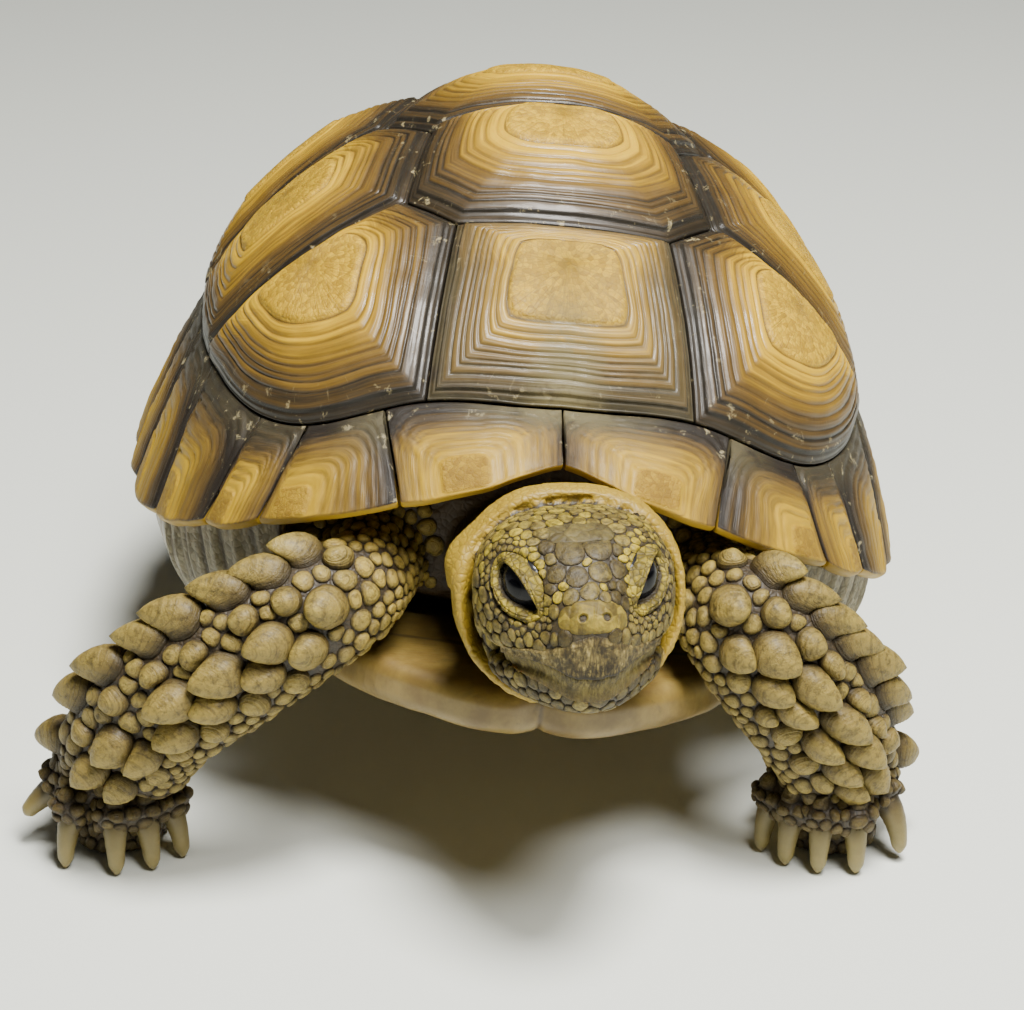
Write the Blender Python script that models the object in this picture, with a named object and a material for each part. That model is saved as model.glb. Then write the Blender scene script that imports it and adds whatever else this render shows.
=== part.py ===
# A juvenile sulcata tortoise standing still: shell plates, plastron, head, neck, legs, tail and claws.
# It faces -Y, its left side is +X, +Z is up, and its four soles stand at z = 0.
# The sizes below are in millimetres, and a mesh is scaled to metres when it is made.

import math

import bmesh
import bpy
import numpy as np
from mathutils import Euler, Vector

MM = 0.001
ORIGIN = (-8.1, -11.7)  # plan position of the middle of the model's box

# How the shell is carried: tipped down to the animal's left, and up in front.
SHELL_ROLL = math.radians(6.56)
SHELL_PITCH = math.radians(-4.51)
SHELL_PIVOT = 20.0
SHELL_LIFT = 21.0

# The carapace is a rounded dome about DOME_CENTRE.
DOME_CENTRE = np.array([0.0, 6.0, 14.0])
DOME_HALF_WIDTH = 52.5
DOME_FRONT = 65.0
DOME_REAR = 54.7
DOME_HEIGHT = 55.8
PLAN_POWER = 2.5
PROFILE_POWER = 1.7
PLATE_INSIDE = 0.93  # the plates' inner faces, as a share of the dome
FLESH_INSIDE = 0.91  # the trunk under them
PLATE_GAP = 0.18  # half of the gap between two plates

# The upper edge of the marginal plates: height above the plastron by angle from the front.
EDGE_ANGLES = (0, 18, 36, 60, 90, 122, 150, 165, 180)
EDGE_HEIGHTS = (38, 37, 30.5, 31.5, 33, 32, 31, 34, 36)

# The rim: its plan and its height by angle from the front.
RIM_HALF_WIDTH = 55.3
RIM_FRONT = 66.0
RIM_REAR = 60.0
RIM_NOTCH = 2.5
RIM_ANGLES = (0, 8, 18, 35, 44, 59, 76, 108, 125, 145, 165, 180)
RIM_HEIGHTS = (32, 31, 26.8, 18.4, 15, 10.4, 9.2, 9.6, 13.6, 17.5, 14.5, 13)
RIM_FLARE = 1.0
RIM_DEPTH = 7.0  # how far the marginals' undersides reach inwards
RIM_MEAN_RADIUS = 46.0

# Seams between marginal plates: angle on the upper edge and on the rim.
MARGINAL_SEAMS = (
    (0, 0), (23.4, 18), (33.4, 35.2), (41.7, 44.4), (60.5, 59), (76, 76),
    (92, 92), (108, 108), (123, 123), (138, 138), (152, 152), (165, 165),
)

# Corners between the large plates, left side, in plan.
PLATE_CORNERS = {
    "a1": (14.5, -28.3), "a2": (17.5, -6.3), "a3": (17.0, 16.5), "a4": (13.0, 37.0),
    "s2": (21.0, -22.0), "s3": (23.0, 5.0), "s4": (20.0, 27.0),
}

# Each large plate: its outline, its growth centre in plan, its rise at the areola and the areola's share.
# A number in an outline is an angle along the marginals' upper edge, and a minus mirrors a corner.
VERTEBRALS = (
    ((-18.2, 18.2, "a1", "-a1"), (0, -36.0), 3.0, 0.45),
    (("a1", "s2", "a2", "-a2", "-s2", "-a1"), (0, -10.0), 3.2, 0.38),
    (("a2", "s3", "a3", "-a3", "-s3", "-a2"), (0, 12.0), 2.4, 0.40),
    (("a3", "s4", "a4", "-a4", "-s4", "-a3"), (0, 32.0), 3.2, 0.40),
    (("a4", 150, 210, "-a4"), (0, 42.0), 3.0, 0.42),
)
COSTALS = (
    (("a1", 18.2, 63.4, "s2"), (31.5, -27.0), 3.2, 0.42),
    (("s2", 63.4, 93, "s3", "a2"), (35.0, -4.0), 2.8, 0.42),
    (("s3", 93, 122, "s4", "a3"), (34.0, 19.0), 3.4, 0.42),
    (("s4", 122, 150, "a4"), (26.0, 36.0), 3.2, 0.42),
)
PLATE_RINGS = (1.0, 0.955, 0.88, 0.65, 0.42)  # shares of the outline, from the seam inwards
PLATE_STEP = 6.5  # length of a side of a plate's outline
PLATE_LIP = 0.6  # how high a plate's edge stands beside the seam
LIP_WIDTH = 0.04
SLOPE_POWER = 2.2


# ---- shared geometry ----

def curve(x, places, values):
    """A smooth curve through the values at the given places."""
    places = np.asarray(places, float)
    values = np.asarray(values, float)
    slopes = np.gradient(values, places)
    i = np.clip(np.searchsorted(places, x, side="right") - 1, 0, len(places) - 2)
    width = places[i + 1] - places[i]
    t = np.clip((x - places[i]) / width, 0, 1)
    start = (1 + 2 * t) * (1 - t) ** 2 * values[i] + t * (1 - t) ** 2 * width * slopes[i]
    return start + t * t * (3 - 2 * t) * values[i + 1] + t * t * (t - 1) * width * slopes[i + 1]


def unit(v):
    return v / np.linalg.norm(v, axis=-1, keepdims=True)


def plan_radius(angle, half_width, front, rear):
    along = np.where(np.cos(angle) >= 0, front, rear)
    across = (np.abs(np.sin(angle)) / half_width) ** PLAN_POWER
    return (across + (np.abs(np.cos(angle)) / along) ** PLAN_POWER) ** (-1 / PLAN_POWER)


def round_point(angle, radius, height):
    """A point at an angle from the front about the dome's centre."""
    x = radius * np.sin(angle)
    y = DOME_CENTRE[1] - radius * np.cos(angle)
    return np.stack([x, y, height + 0 * x], axis=-1)


def dome_share(points):
    q = np.asarray(points, float) - DOME_CENTRE
    along = np.where(q[..., 1] < 0, DOME_FRONT, DOME_REAR)
    plan = (np.abs(q[..., 0]) / DOME_HALF_WIDTH) ** PLAN_POWER + (np.abs(q[..., 1]) / along) ** PLAN_POWER
    total = plan ** (PROFILE_POWER / PLAN_POWER) + (np.abs(q[..., 2]) / DOME_HEIGHT) ** PROFILE_POWER
    return total ** (1 / PROFILE_POWER)


def on_dome(points, share=1.0):
    q = np.asarray(points, float) - DOME_CENTRE
    return DOME_CENTRE + q * (share / dome_share(points))[..., None]


def dome_normal(points):
    """The dome's outward direction, by small differences of its share."""
    steps = np.eye(3) * 0.01
    slope = [dome_share(points + s) - dome_share(points - s) for s in steps]
    return unit(np.stack(slope, axis=-1))


def dome_height(x, y):
    along = DOME_FRONT if y < DOME_CENTRE[1] else DOME_REAR
    plan = abs(x / DOME_HALF_WIDTH) ** PLAN_POWER + abs((y - DOME_CENTRE[1]) / along) ** PLAN_POWER
    rise = (1 - plan ** (PROFILE_POWER / PLAN_POWER)) ** (1 / PROFILE_POWER)
    return DOME_CENTRE[2] + DOME_HEIGHT * rise


def dome_radius(angle, height, share=1.0):
    rise = np.abs(height - DOME_CENTRE[2]) / (DOME_HEIGHT * share)
    level = np.clip(1 - rise ** PROFILE_POWER, 0, 1) ** (1 / PROFILE_POWER)
    return share * level * plan_radius(angle, DOME_HALF_WIDTH, DOME_FRONT, DOME_REAR)


def folded(degrees):
    """The angle from the front, from 0 to 180, on either side."""
    return np.abs((np.asarray(degrees, float) + 180) % 360 - 180)


def edge_point(degrees):
    height = curve(folded(degrees), EDGE_ANGLES, EDGE_HEIGHTS)
    angle = np.radians(degrees)
    return round_point(angle, dome_radius(angle, height), height)


def rim_point(degrees):
    away = folded(degrees)
    height = curve(away, RIM_ANGLES, RIM_HEIGHTS)
    angle = np.radians(degrees)
    radius = plan_radius(angle, RIM_HALF_WIDTH, RIM_FRONT, RIM_REAR)
    radius = radius - RIM_NOTCH * np.exp(-((away / 9) ** 2))
    return round_point(angle, radius, height)


def shell_to_world(points):
    turn = np.array(Euler((SHELL_PITCH, SHELL_ROLL, 0)).to_matrix())
    pivot = np.array([0, 0, SHELL_PIVOT])
    return (points - pivot) @ turn.T + pivot + [0, 0, SHELL_LIFT]


# ---- meshes ----

def skin_material(name, colour, roughness):
    material = bpy.data.materials.new(name)
    material.use_nodes = True
    shader = material.node_tree.nodes["Principled BSDF"]
    shader.inputs["Base Color"].default_value = (*colour, 1)
    shader.inputs["Roughness"].default_value = roughness
    shader.inputs["Metallic"].default_value = 0
    return material


def add_part(name, bm, material, smooth=True):
    """Makes the object of a mesh given in millimetres in the world, about the model's origin."""
    bmesh.ops.translate(bm, verts=bm.verts, vec=(-ORIGIN[0], -ORIGIN[1], 0))
    bmesh.ops.scale(bm, verts=bm.verts, vec=(MM, MM, MM))
    bmesh.ops.recalc_face_normals(bm, faces=bm.faces)
    mesh = bpy.data.meshes.new(name)
    bm.to_mesh(mesh)
    bm.free()
    mesh.materials.append(material)
    if smooth:
        mesh.shade_smooth()
        mesh.set_sharp_from_angle(angle=math.radians(40))
    part = bpy.data.objects.new(name, mesh)
    bpy.context.collection.objects.link(part)
    return part


def add_rings(bm, rings, start_tip=None, end_tip=None):
    """Joins closed rings of equal length in turn, and closes both ends with a tip or a flat face."""
    loops = [[bm.verts.new(p) for p in ring] for ring in rings]
    count = len(loops[0])
    for one, two in zip(loops, loops[1:]):
        for i in range(count):
            j = (i + 1) % count
            bm.faces.new((one[i], one[j], two[j], two[i]))
    for loop, tip in ((loops[0], start_tip), (loops[-1], end_tip)):
        if tip is None:
            bm.faces.new(loop)
            continue
        point = bm.verts.new(tip)
        for i in range(count):
            bm.faces.new((loop[i], loop[(i + 1) % count], point))


def rings_part(name, rings, material, start_tip=None, end_tip=None, smooth=True):
    bm = bmesh.new()
    add_rings(bm, rings, start_tip, end_tip)
    return add_part(name, bm, material, smooth)


# ---- large plates ----

def corner_point(corner):
    side = 1
    if corner.startswith("-"):
        side = -1
        corner = corner[1:]
    x, y = PLATE_CORNERS[corner]
    return np.array([side * x, y, dome_height(x, y)])


def plate_side(start, end, step):
    """The points from one corner up to the next, along the marginals' edge or straight over the dome."""
    if isinstance(start, str) or isinstance(end, str):
        ends = [corner_point(c) if isinstance(c, str) else edge_point(c) for c in (start, end)]
        count = max(2, round(np.linalg.norm(ends[1] - ends[0]) / step))
        t = np.arange(count)[:, None] / count
        return on_dome(ends[0] + (ends[1] - ends[0]) * t)
    length = np.radians(abs(end - start)) * DOME_HALF_WIDTH
    count = max(2, round(length / step))
    return edge_point(start + (end - start) * np.arange(count) / count)


def plate_outline(corners, step):
    ends = corners[1:] + corners[:1]
    return np.concatenate([plate_side(a, b, step) for a, b in zip(corners, ends)])


def drawn_in(outline, distance):
    """The outline moved inwards over the dome by a distance."""
    before = unit(outline - np.roll(outline, 1, axis=0))
    after = unit(np.roll(outline, -1, axis=0) - outline)
    up = dome_normal(outline)
    middle = outline.mean(axis=0)
    inward = np.cross(up, unit(before + after))
    side = np.sign((inward * (middle - outline)).sum(axis=1))[:, None]
    bend = np.clip((before * unit(before + after)).sum(axis=1), 0.6, 1)[:, None]
    return on_dome(outline + side * unit(inward) * distance / bend)


def plate_rise(share, rise, areola):
    """How high a plate stands over the seam at a share of its outline."""
    lip = PLATE_LIP * min(1.0, (1 - share) / LIP_WIDTH) ** 0.5
    slope = (1 - max(share, areola) ** SLOPE_POWER) / (1 - areola ** SLOPE_POWER)
    return lip + (rise - PLATE_LIP) * slope


def plate(name, spec, side, material):
    corners, growth, rise, areola = spec
    outline = drawn_in(plate_outline(corners, PLATE_STEP), PLATE_GAP)
    centre = np.array([growth[0], growth[1], dome_height(*growth)])
    inner = on_dome(outline, PLATE_INSIDE)
    inner_middle = on_dome(centre[None], PLATE_INSIDE)[0]
    rings = [on_dome(inner_middle + (inner - inner_middle) * 0.5, PLATE_INSIDE), inner]
    for share in PLATE_RINGS:
        base = on_dome(centre + (outline - centre) * share)
        rings.append(base + dome_normal(base) * plate_rise(share, rise, areola))
    top = centre + dome_normal(centre[None])[0] * rise
    mirror = np.array([side, 1, 1])
    rings = [shell_to_world(r * mirror) for r in rings]
    ends = [shell_to_world(p * mirror) for p in (inner_middle, top)]
    return rings_part(name, rings, material, *ends)


def large_plates(material):
    for i, spec in enumerate(VERTEBRALS):
        plate(f"vertebral_{i + 1}", spec, 1, material)
    for side, word in ((1, "left"), (-1, "right")):
        for i, spec in enumerate(COSTALS):
            plate(f"costal_{word}_{i + 1}", spec, side, material)


# ---- marginal plates ----

def between_seams(first, last, share):
    """Angles on the upper edge and on the rim at a share of the way between two seams."""
    upper = first[0] + (last[0] - first[0]) * share
    return upper, first[1] + (last[1] - first[1]) * share


def marginal_section(upper, lower, bulge):
    """One slice of the marginal ring: down the outside, under the rim and up the inside."""
    rim = rim_point(lower)
    top = edge_point(upper)
    top = top + (rim - top) * (PLATE_GAP / np.linalg.norm(rim - top))
    out = unit((rim - DOME_CENTRE) * [1, 1, 0])
    lip = rim + out * bulge * RIM_FLARE + [0, 0, 1.2]
    angle = math.radians(lower)
    radius = np.hypot(*(rim - DOME_CENTRE)[:2])
    inner = max(radius - RIM_DEPTH, dome_radius(angle, rim[2], PLATE_INSIDE) + 0.2)
    middle = np.radians(0.5 * (upper + lower))
    halfway = 0.5 * (rim[2] + top[2])
    swell = (0.5 * (top + lip) - DOME_CENTRE) / np.linalg.norm(0.5 * (top + lip) - DOME_CENTRE)
    return np.array([
        top,
        top * 0.65 + lip * 0.35 + swell * (0.3 + 0.5 * bulge),
        top * 0.3 + lip * 0.7 + swell * (0.1 + 0.5 * bulge),
        lip,
        rim - out * 1.2,
        round_point(angle, inner, rim[2]),
        round_point(middle, dome_radius(middle, halfway, PLATE_INSIDE) + 0.1, halfway),
        on_dome(top, PLATE_INSIDE),
    ])


def marginals(name, seams, side, steps, material):
    """A run of marginal plates in one body, with its rim drawn in a little at each seam."""
    gap = math.degrees(PLATE_GAP / RIM_MEAN_RADIUS)
    rings = []
    for first, last in zip(seams, seams[1:]):
        for i in range(steps + 1):
            share = i / steps
            upper, lower = between_seams(first, last, share)
            ends = (first is seams[0] and i == 0) - (last is seams[-1] and i == steps)
            if i == 0 and first is not seams[0]:
                continue
            bulge = math.sin(math.pi * share) ** 0.7 if 0 < share < 1 else 0.0
            rings.append(marginal_section(upper + ends * gap, lower + ends * gap, bulge))
    mirror = np.array([side, 1, 1])
    return rings_part(name, [shell_to_world(r * mirror) for r in rings], material, smooth=True)


def marginal_ring(material):
    groups = (
        ("1", 0, 2), ("2", 1, 3), ("3", 2, 4), ("4", 3, 5),
        ("bridge", 4, 8), ("rear_1", 7, 10), ("rear_2", 9, 12),
    )
    for side, word in ((1, "left"), (-1, "right")):
        for label, first, last in groups:
            steps = 3 if label in "1234" else 2
            marginals(f"marginal_{word}_{label}", MARGINAL_SEAMS[first:last], side, steps, material)
    marginals("supracaudal", ((165, 165), (195, 195)), 1, 5, material)


# ---- plastron ----

PLASTRON_BOTTOM = -1.5
PLASTRON_TOP = 4.2
BRIDGE_FRONT = -27.4
BRIDGE_REAR = 26.6
# Half of each lobe's outline, from the midline outwards.
FRONT_LOBE = (
    (0, -63.8), (4, -65.8), (9, -64.8), (15, -61.2), (21, -56.8),
    (26, -51.5), (29, -46), (31, -38), (31.5, -31.5), (31, -27.8),
)
REAR_LOBE = (
    (0, 50.0), (5, 52.5), (11, 57), (16, 54.5), (20, 49.5),
    (24, 42), (25.5, 35), (26, 30.5), (27, 27.0),
)


def lobe(name, half_outline, droop, material):
    """One end of the plastron: a plate cut out of its outline, with its edges rounded."""
    other_half = [(-x, y) for x, y in reversed(half_outline) if x > 0]
    outline = [(x, y, PLASTRON_BOTTOM) for x, y in list(half_outline) + other_half]
    bm = bmesh.new()
    face = bm.faces.new([bm.verts.new(p) for p in outline])
    raised = bmesh.ops.extrude_face_region(bm, geom=[face])["geom"]
    top = [v for v in raised if isinstance(v, bmesh.types.BMVert)]
    bmesh.ops.translate(bm, verts=top, vec=(0, 0, PLASTRON_TOP - PLASTRON_BOTTOM))
    sides = [e for e in bm.edges if abs(e.verts[0].co.z - e.verts[1].co.z) < 0.1]
    sides = [e for e in sides if max(abs(v.co.y) for v in e.verts) > 28.5]
    bmesh.ops.bevel(bm, geom=sides, offset=1.0, segments=1, profile=0.5, affect="EDGES")
    for vertex in bm.verts:
        away = min(1.0, (abs(vertex.co.y) - abs(half_outline[-1][1])) / 20)
        if vertex.co.z < 1:
            vertex.co.z -= droop * away
        vertex.co = Vector(shell_to_world(np.array(vertex.co)))
    return add_part(name, bm, material)


def rim_reach(y):
    """The rim's half-width and height at a place along the shell."""
    along = RIM_FRONT if y < DOME_CENTRE[1] else RIM_REAR
    share = (abs(y - DOME_CENTRE[1]) / along) ** PLAN_POWER
    x = RIM_HALF_WIDTH * (1 - share) ** (1 / PLAN_POWER)
    angle = math.degrees(math.atan2(x, DOME_CENTRE[1] - y))
    return x, float(curve(angle, RIM_ANGLES, RIM_HEIGHTS))


def plastron_middle(material):
    """The middle of the plastron with the two bridges that rise to the marginals' undersides."""
    rings = []
    for y in np.linspace(BRIDGE_FRONT, BRIDGE_REAR, 7):
        reach, height = rim_reach(y)
        top = min(height, 11.0) - 0.4
        half = [
            (0, PLASTRON_BOTTOM), (36, PLASTRON_BOTTOM), (reach - 5.8, PLASTRON_BOTTOM + 1.4),
            (reach - 2.8, 4.2), (reach - 2.2, top), (reach - 6.8, top),
            (reach - 11.0, PLASTRON_TOP), (0, PLASTRON_TOP),
        ]
        loop = half + [(-x, z) for x, z in reversed(half) if x > 0]
        rings.append(shell_to_world(np.array([(x, y, z) for x, z in loop])))
    return rings_part("plastron_middle", rings, material)


# ---- trunk ----

# Heights in the shell's frame and the share of the dome's inside that the trunk fills there.
TRUNK_LEVELS = (
    (4.6, 0.76), (9.0, 0.88), (14.0, 1.0), (24.0, 1.0),
    (34.0, 1.0), (44.0, 1.0), (53.0, 1.0), (60.0, 1.0),
)
TRUNK_SIDES = 32
TRUNK_FRONT = -44.0
TRUNK_REAR = 48.0
TRUNK_CHAMFER = 42.0  # distance of the faces that carry the rear legs from the dome's axis


def trunk(material):
    """The flesh inside the shell, cut flat where the neck, the legs and the tail join."""
    angles = np.radians(np.arange(TRUNK_SIDES) * 360 / TRUNK_SIDES)
    forward = np.maximum(np.cos(angles), 1e-6)
    backward = np.maximum(-np.cos(angles), 1e-6)
    slant = np.maximum(np.cos(np.abs(np.abs(angles - math.pi)) - math.radians(45)), 1e-6)
    cut = np.minimum((DOME_CENTRE[1] - TRUNK_FRONT) / forward, (TRUNK_REAR - DOME_CENTRE[1]) / backward)
    cut = np.minimum(cut, TRUNK_CHAMFER / slant)
    rings = []
    for height, share in TRUNK_LEVELS:
        radius = dome_radius(angles, height, FLESH_INSIDE) * share
        rings.append(shell_to_world(round_point(angles, np.minimum(radius, cut), height)))
    tip = DOME_CENTRE + [0, 0, DOME_HEIGHT * FLESH_INSIDE]
    return rings_part("trunk", rings, material, end_tip=shell_to_world(tip))


# ---- skin parts ----

def oval(centre, across, up, half_width, half_height, count, power=2.2, low=None, low_power=None):
    """A rounded ring; low and low_power give the part below the centre a shape of its own."""
    angles = np.arange(count) * 2 * math.pi / count
    c = np.cos(angles)
    s = np.sin(angles)
    below = s < 0
    height = np.where(below, half_height if low is None else low, half_height)
    squareness = np.where(below, low_power or power, power)
    x = np.sign(c) * np.abs(c) ** (2 / squareness) * half_width
    z = np.sign(s) * np.abs(s) ** (2 / squareness) * height
    return np.asarray(centre, float) + x[:, None] * across + z[:, None] * up


NECK_SIDES = 20
NECK_ROOT = (0.0, TRUNK_FRONT - 0.3, 15.2)  # on the trunk's front, in the shell's frame
# Along the neck: centre, half width, half height and how far the ring's foot leans forward.
NECK_RINGS = (
    ((0.5, -52.0, 40.6), 12.6, 9.6, 0.0),
    ((0.9, -58.5, 42.4), 12.8, 10.2, 1.0),
    ((1.2, -63.5, 45.6), 14.2, 12.2, 2.5),
    ((1.35, -68.0, 47.4), 15.3, 13.4, 4.5),
    ((1.4, -71.0, 47.4), 15.0, 13.2, 5.0),
    ((1.4, -71.6, 47.4), 14.0, 12.5, 5.0),
    ((1.4, -70.0, 47.6), 13.1, 11.9, 4.5),
    ((1.3, -64.0, 47.8), 11.8, 10.4, 1.0),
)


def neck(material):
    """The neck with its collar of loose skin, which is open in front and takes the back of the head."""
    side = np.array([1.0, 0, 0])
    rings = [shell_to_world(oval(NECK_ROOT, side, np.array([0, 0, 1.0]), 12.4, 9.4, NECK_SIDES))]
    for centre, half_width, half_height, lean in NECK_RINGS:
        up = np.array([0, lean / half_height, 1.0])
        rings.append(oval(centre, side, up, half_width, half_height, NECK_SIDES))
    return rings_part("neck", rings, material)


HEAD_PLACE = np.array([1.8, -75.4, 48.0])
HEAD_YAW = math.radians(4)
HEAD_SIDES = 22
# Along the head from the back: y, half width, top, height of the widest place, bottom, squareness above.
HEAD_RINGS = (
    (10.3, 9.4, 8.9, 0.5, -7.8, 2.4),
    (7.5, 11.4, 10.0, 0.8, -9.7, 2.5),
    (4.5, 12.2, 10.8, 1.0, -10.3, 2.6),
    (1.3, 12.5, 10.9, 1.0, -10.4, 2.7),
    (1.1, 12.5, 10.9, 1.0, -5.6, 2.7),
    (-2.0, 12.0, 10.5, 0.8, -5.0, 2.6),
    (-4.5, 11.0, 9.7, 0.2, -4.1, 2.4),
    (-7.0, 9.4, 8.5, -0.6, -3.3, 2.1),
    (-9.3, 7.5, 7.3, -0.9, -2.7, 1.95),
    (-11.4, 5.9, 6.2, -0.8, -2.5, 2.0),
    (-13.0, 4.3, 5.0, -0.6, -2.9, 2.1),
    (-13.9, 2.8, 3.6, -0.4, -3.4, 2.2),
)
HEAD_TIP = (0, -14.3, -0.6)
CHEEK_SQUARENESS = 2.6  # of the head's lower half behind the mouth
LIP_SQUARENESS = 4.0  # and over the mouth, where the beak's edge is
MOUTH_CORNER = 1.2  # how far back the mouth is open
# Along the lower jaw from the back: y, half width, top, bottom.
JAW_RINGS = (
    (0.7, 10.8, -6.0, -10.4),
    (-2.0, 10.6, -5.4, -10.7),
    (-4.8, 9.9, -4.4, -10.8),
    (-7.4, 8.5, -3.65, -10.6),
    (-9.6, 6.8, -3.1, -10.1),
    (-11.6, 4.7, -3.05, -9.2),
    (-12.8, 2.5, -3.9, -7.9),
)
JAW_TIP = (0, -13.4, -5.6)
JAW_SIDES = 16
JAW_SQUARENESS = 2.4
EYE_PLACE = (6.5, -4.1, 4.7)
EYE_RADIUS = 3.2
SOCKET_GAP = 0.3


def head_to_world(points):
    turn = np.array(Euler((0, 0, HEAD_YAW)).to_matrix())
    return np.asarray(points, float) @ turn.T + HEAD_PLACE


def sphere(bm, centre, radius, rows=6):
    bmesh.ops.create_uvsphere(bm, u_segments=2 * rows, v_segments=rows, radius=radius)
    bmesh.ops.translate(bm, verts=bm.verts, vec=Vector(centre))


def head(material):
    side = np.array([1.0, 0, 0])
    up = np.array([0, 0, 1.0])
    rings = []
    for y, half_width, top, wide, bottom, above in HEAD_RINGS:
        below = CHEEK_SQUARENESS if y > MOUTH_CORNER else LIP_SQUARENESS
        ring = oval((0, y, wide), side, up, half_width, top - wide, HEAD_SIDES, above, wide - bottom, below)
        rings.append(head_to_world(ring))
    skull = rings_part("head", rings, material, end_tip=head_to_world(HEAD_TIP))
    for sign, word in ((1, "left"), (-1, "right")):
        bm = bmesh.new()
        place = head_to_world((sign * EYE_PLACE[0], EYE_PLACE[1], EYE_PLACE[2]))
        sphere(bm, place, EYE_RADIUS + SOCKET_GAP)
        cutter = add_part(f"socket_{word}", bm, material)
        cutter.hide_render = True
        cutter.display_type = "WIRE"
        cut = skull.modifiers.new(f"socket_{word}", "BOOLEAN")
        cut.object = cutter
        cut.operation = "DIFFERENCE"
        cut.solver = "EXACT"


def lower_jaw(material):
    side = np.array([1.0, 0, 0])
    up = np.array([0, 0, 1.0])
    rings = []
    for y, half_width, top, bottom in JAW_RINGS:
        wide = top - 0.25 * (top - bottom)
        ring = oval((0, y, wide), side, up, half_width, top - wide, JAW_SIDES, JAW_SQUARENESS, wide - bottom)
        rings.append(head_to_world(ring))
    rings_part("lower_jaw", rings, material, end_tip=head_to_world(JAW_TIP))


def eyes(material):
    for sign, word in ((1, "left"), (-1, "right")):
        bm = bmesh.new()
        sphere(bm, head_to_world((sign * EYE_PLACE[0], EYE_PLACE[1], EYE_PLACE[2])), EYE_RADIUS)
        add_part(f"eye_{word}", bm, material)


TAIL_ROOT = (0.0, TRUNK_REAR + 0.3, 10.4)
# Along the tail: centre and radius.
TAIL_RINGS = (
    ((0.4, 52.0, 26.0), 3.9),
    ((1.4, 56.5, 23.4), 3.4),
    ((2.8, 60.0, 19.6), 2.7),
    ((4.2, 61.6, 15.4), 1.8),
)
TAIL_TIP = (5.2, 61.8, 12.0)


def tail(material):
    side = np.array([1.0, 0, 0])
    slant = np.array([0, 0.75, 0.66])
    rings = [shell_to_world(oval(TAIL_ROOT, side, np.array([0, 0, 1.0]), 4.2, 3.9, 10))]
    rings += [oval(place, side, slant, radius, radius, 10) for place, radius in TAIL_RINGS]
    rings_part("tail", rings, material, end_tip=np.array(TAIL_TIP))


# ---- legs ----

FRONT_SIDES = 16
REAR_SIDES = 14
SCALE_ROWS = 7  # rows of large scales down a forearm
REAR_ROWS = 3
ROW_LENGTH = 0.22  # of a row's raised part, in stations
SPUR_RISE = 3.0  # how far the spurs stand out along the forearm's outer edge
SCALE_RISE = 1.1
REAR_RISE = 0.4
SCALED_HALF = 75  # the large scales lie within this many degrees of the leg's front
# Each leg: its root on the trunk in the shell's frame, the way out of the trunk, its wide side,
# the root's half sizes, the sole's centre, the claws' turns and lifts, how far their tips reach, and
# the places along the leg with their half width and half thickness.
LEGS = {
    "front_right": {
        "side": -1, "root": (-22.5, TRUNK_FRONT - 0.3, 13.4), "way": (0, -1, 0),
        "wide_side": (-0.6, 0, 0.8), "root_size": (7.8, 7.6), "sole": (-58.0, -45.0),
        "claws": ((-50, 0), (-25, 0), (0, 0), (38, 0), (80, 4.5)), "reach": 11.4,
        "path": (
            ((-23.6, -51.5, 40.6), 7.4, 7.0), ((-29.0, -57.0, 39.6), 8.4, 6.6),
            ((-36.0, -58.6, 35.8), 9.2, 6.4), ((-44.1, -58.2, 30.5), 9.7, 6.2),
            ((-51.5, -56.0, 24.4), 9.9, 6.2), ((-56.4, -51.8, 16.6), 9.6, 6.6),
        ),
    },
    "front_left": {
        "side": 1, "root": (22.5, TRUNK_FRONT - 0.3, 13.4), "way": (0, -1, 0),
        "wide_side": (0.6, 0, 0.8), "root_size": (7.8, 7.6), "sole": (39.5, -52.0),
        "claws": ((-68, 0), (-43, 0), (-18, 0), (9, 0), (47, 1.0)), "reach": 10.9,
        "path": (
            ((22.6, -51.5, 37.0), 7.6, 7.0), ((24.2, -58.5, 37.2), 8.6, 6.6),
            ((28.2, -60.6, 32.8), 9.4, 6.4), ((32.8, -60.4, 27.0), 9.8, 6.2),
            ((36.8, -58.8, 20.6), 9.6, 6.2), ((39.4, -56.4, 14.6), 9.0, 6.6),
        ),
    },
    "rear_left": {
        "side": 1, "root": (30.0, 36.0, 12.6), "way": (0.707, 0.707, 0),
        "wide_side": (1, 0, 0), "root_size": (7.4, 6.8), "sole": (41.5, 46.0),
        "claws": ((-30, 0), (-5, 0), (20, 0), (45, 0)), "reach": 10.6,
        "path": (
            ((32.8, 39.2, 22.8), 7.2, 6.6), ((36.6, 42.8, 17.8), 7.6, 7.2),
            ((39.6, 44.8, 13.4), 8.0, 7.8),
        ),
    },
    "rear_right": {
        "side": -1, "root": (-30.0, 36.0, 12.6), "way": (-0.707, 0.707, 0),
        "wide_side": (-1, 0, 0), "root_size": (7.4, 6.8), "sole": (-42.0, 46.0),
        "claws": ((-30, 0), (-5, 0), (20, 0), (45, 0)), "reach": 10.6,
        "path": (
            ((-33.6, 40.0, 30.2), 7.8, 6.8), ((-38.0, 43.6, 23.6), 8.2, 7.4),
            ((-41.0, 45.4, 16.0), 8.3, 7.8),
        ),
    },
}
# Below the wrist: height and radius. The toes overhang, and the claws grow from the slanted underside.
FOOT_RINGS = ((12.6, 8.9), (11.0, 9.7), (6.4, 7.0), (0.0, 6.5))
CLAW_HEIGHT = 8.7
CLAW_REACH = 8.35  # the middle of the slanted underside, from the foot's centre
CLAW_SLOPE = math.radians(30)  # how far the claws' roots point down
CLAW_CURVE = 2.6
CLAW_HALF_WIDTH = 1.6
CLAW_HALF_HEIGHT = 1.9
CLAW_START = 0.3
CLAW_CLEARANCE = 0.4  # of the tips from the floor
CLAW_SPREAD = 0.35  # how much further a lifted claw reaches
CLAW_TAPER = 0.6
CLAW_STATIONS = (0.0, 0.3, 0.62, 0.88)


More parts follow.
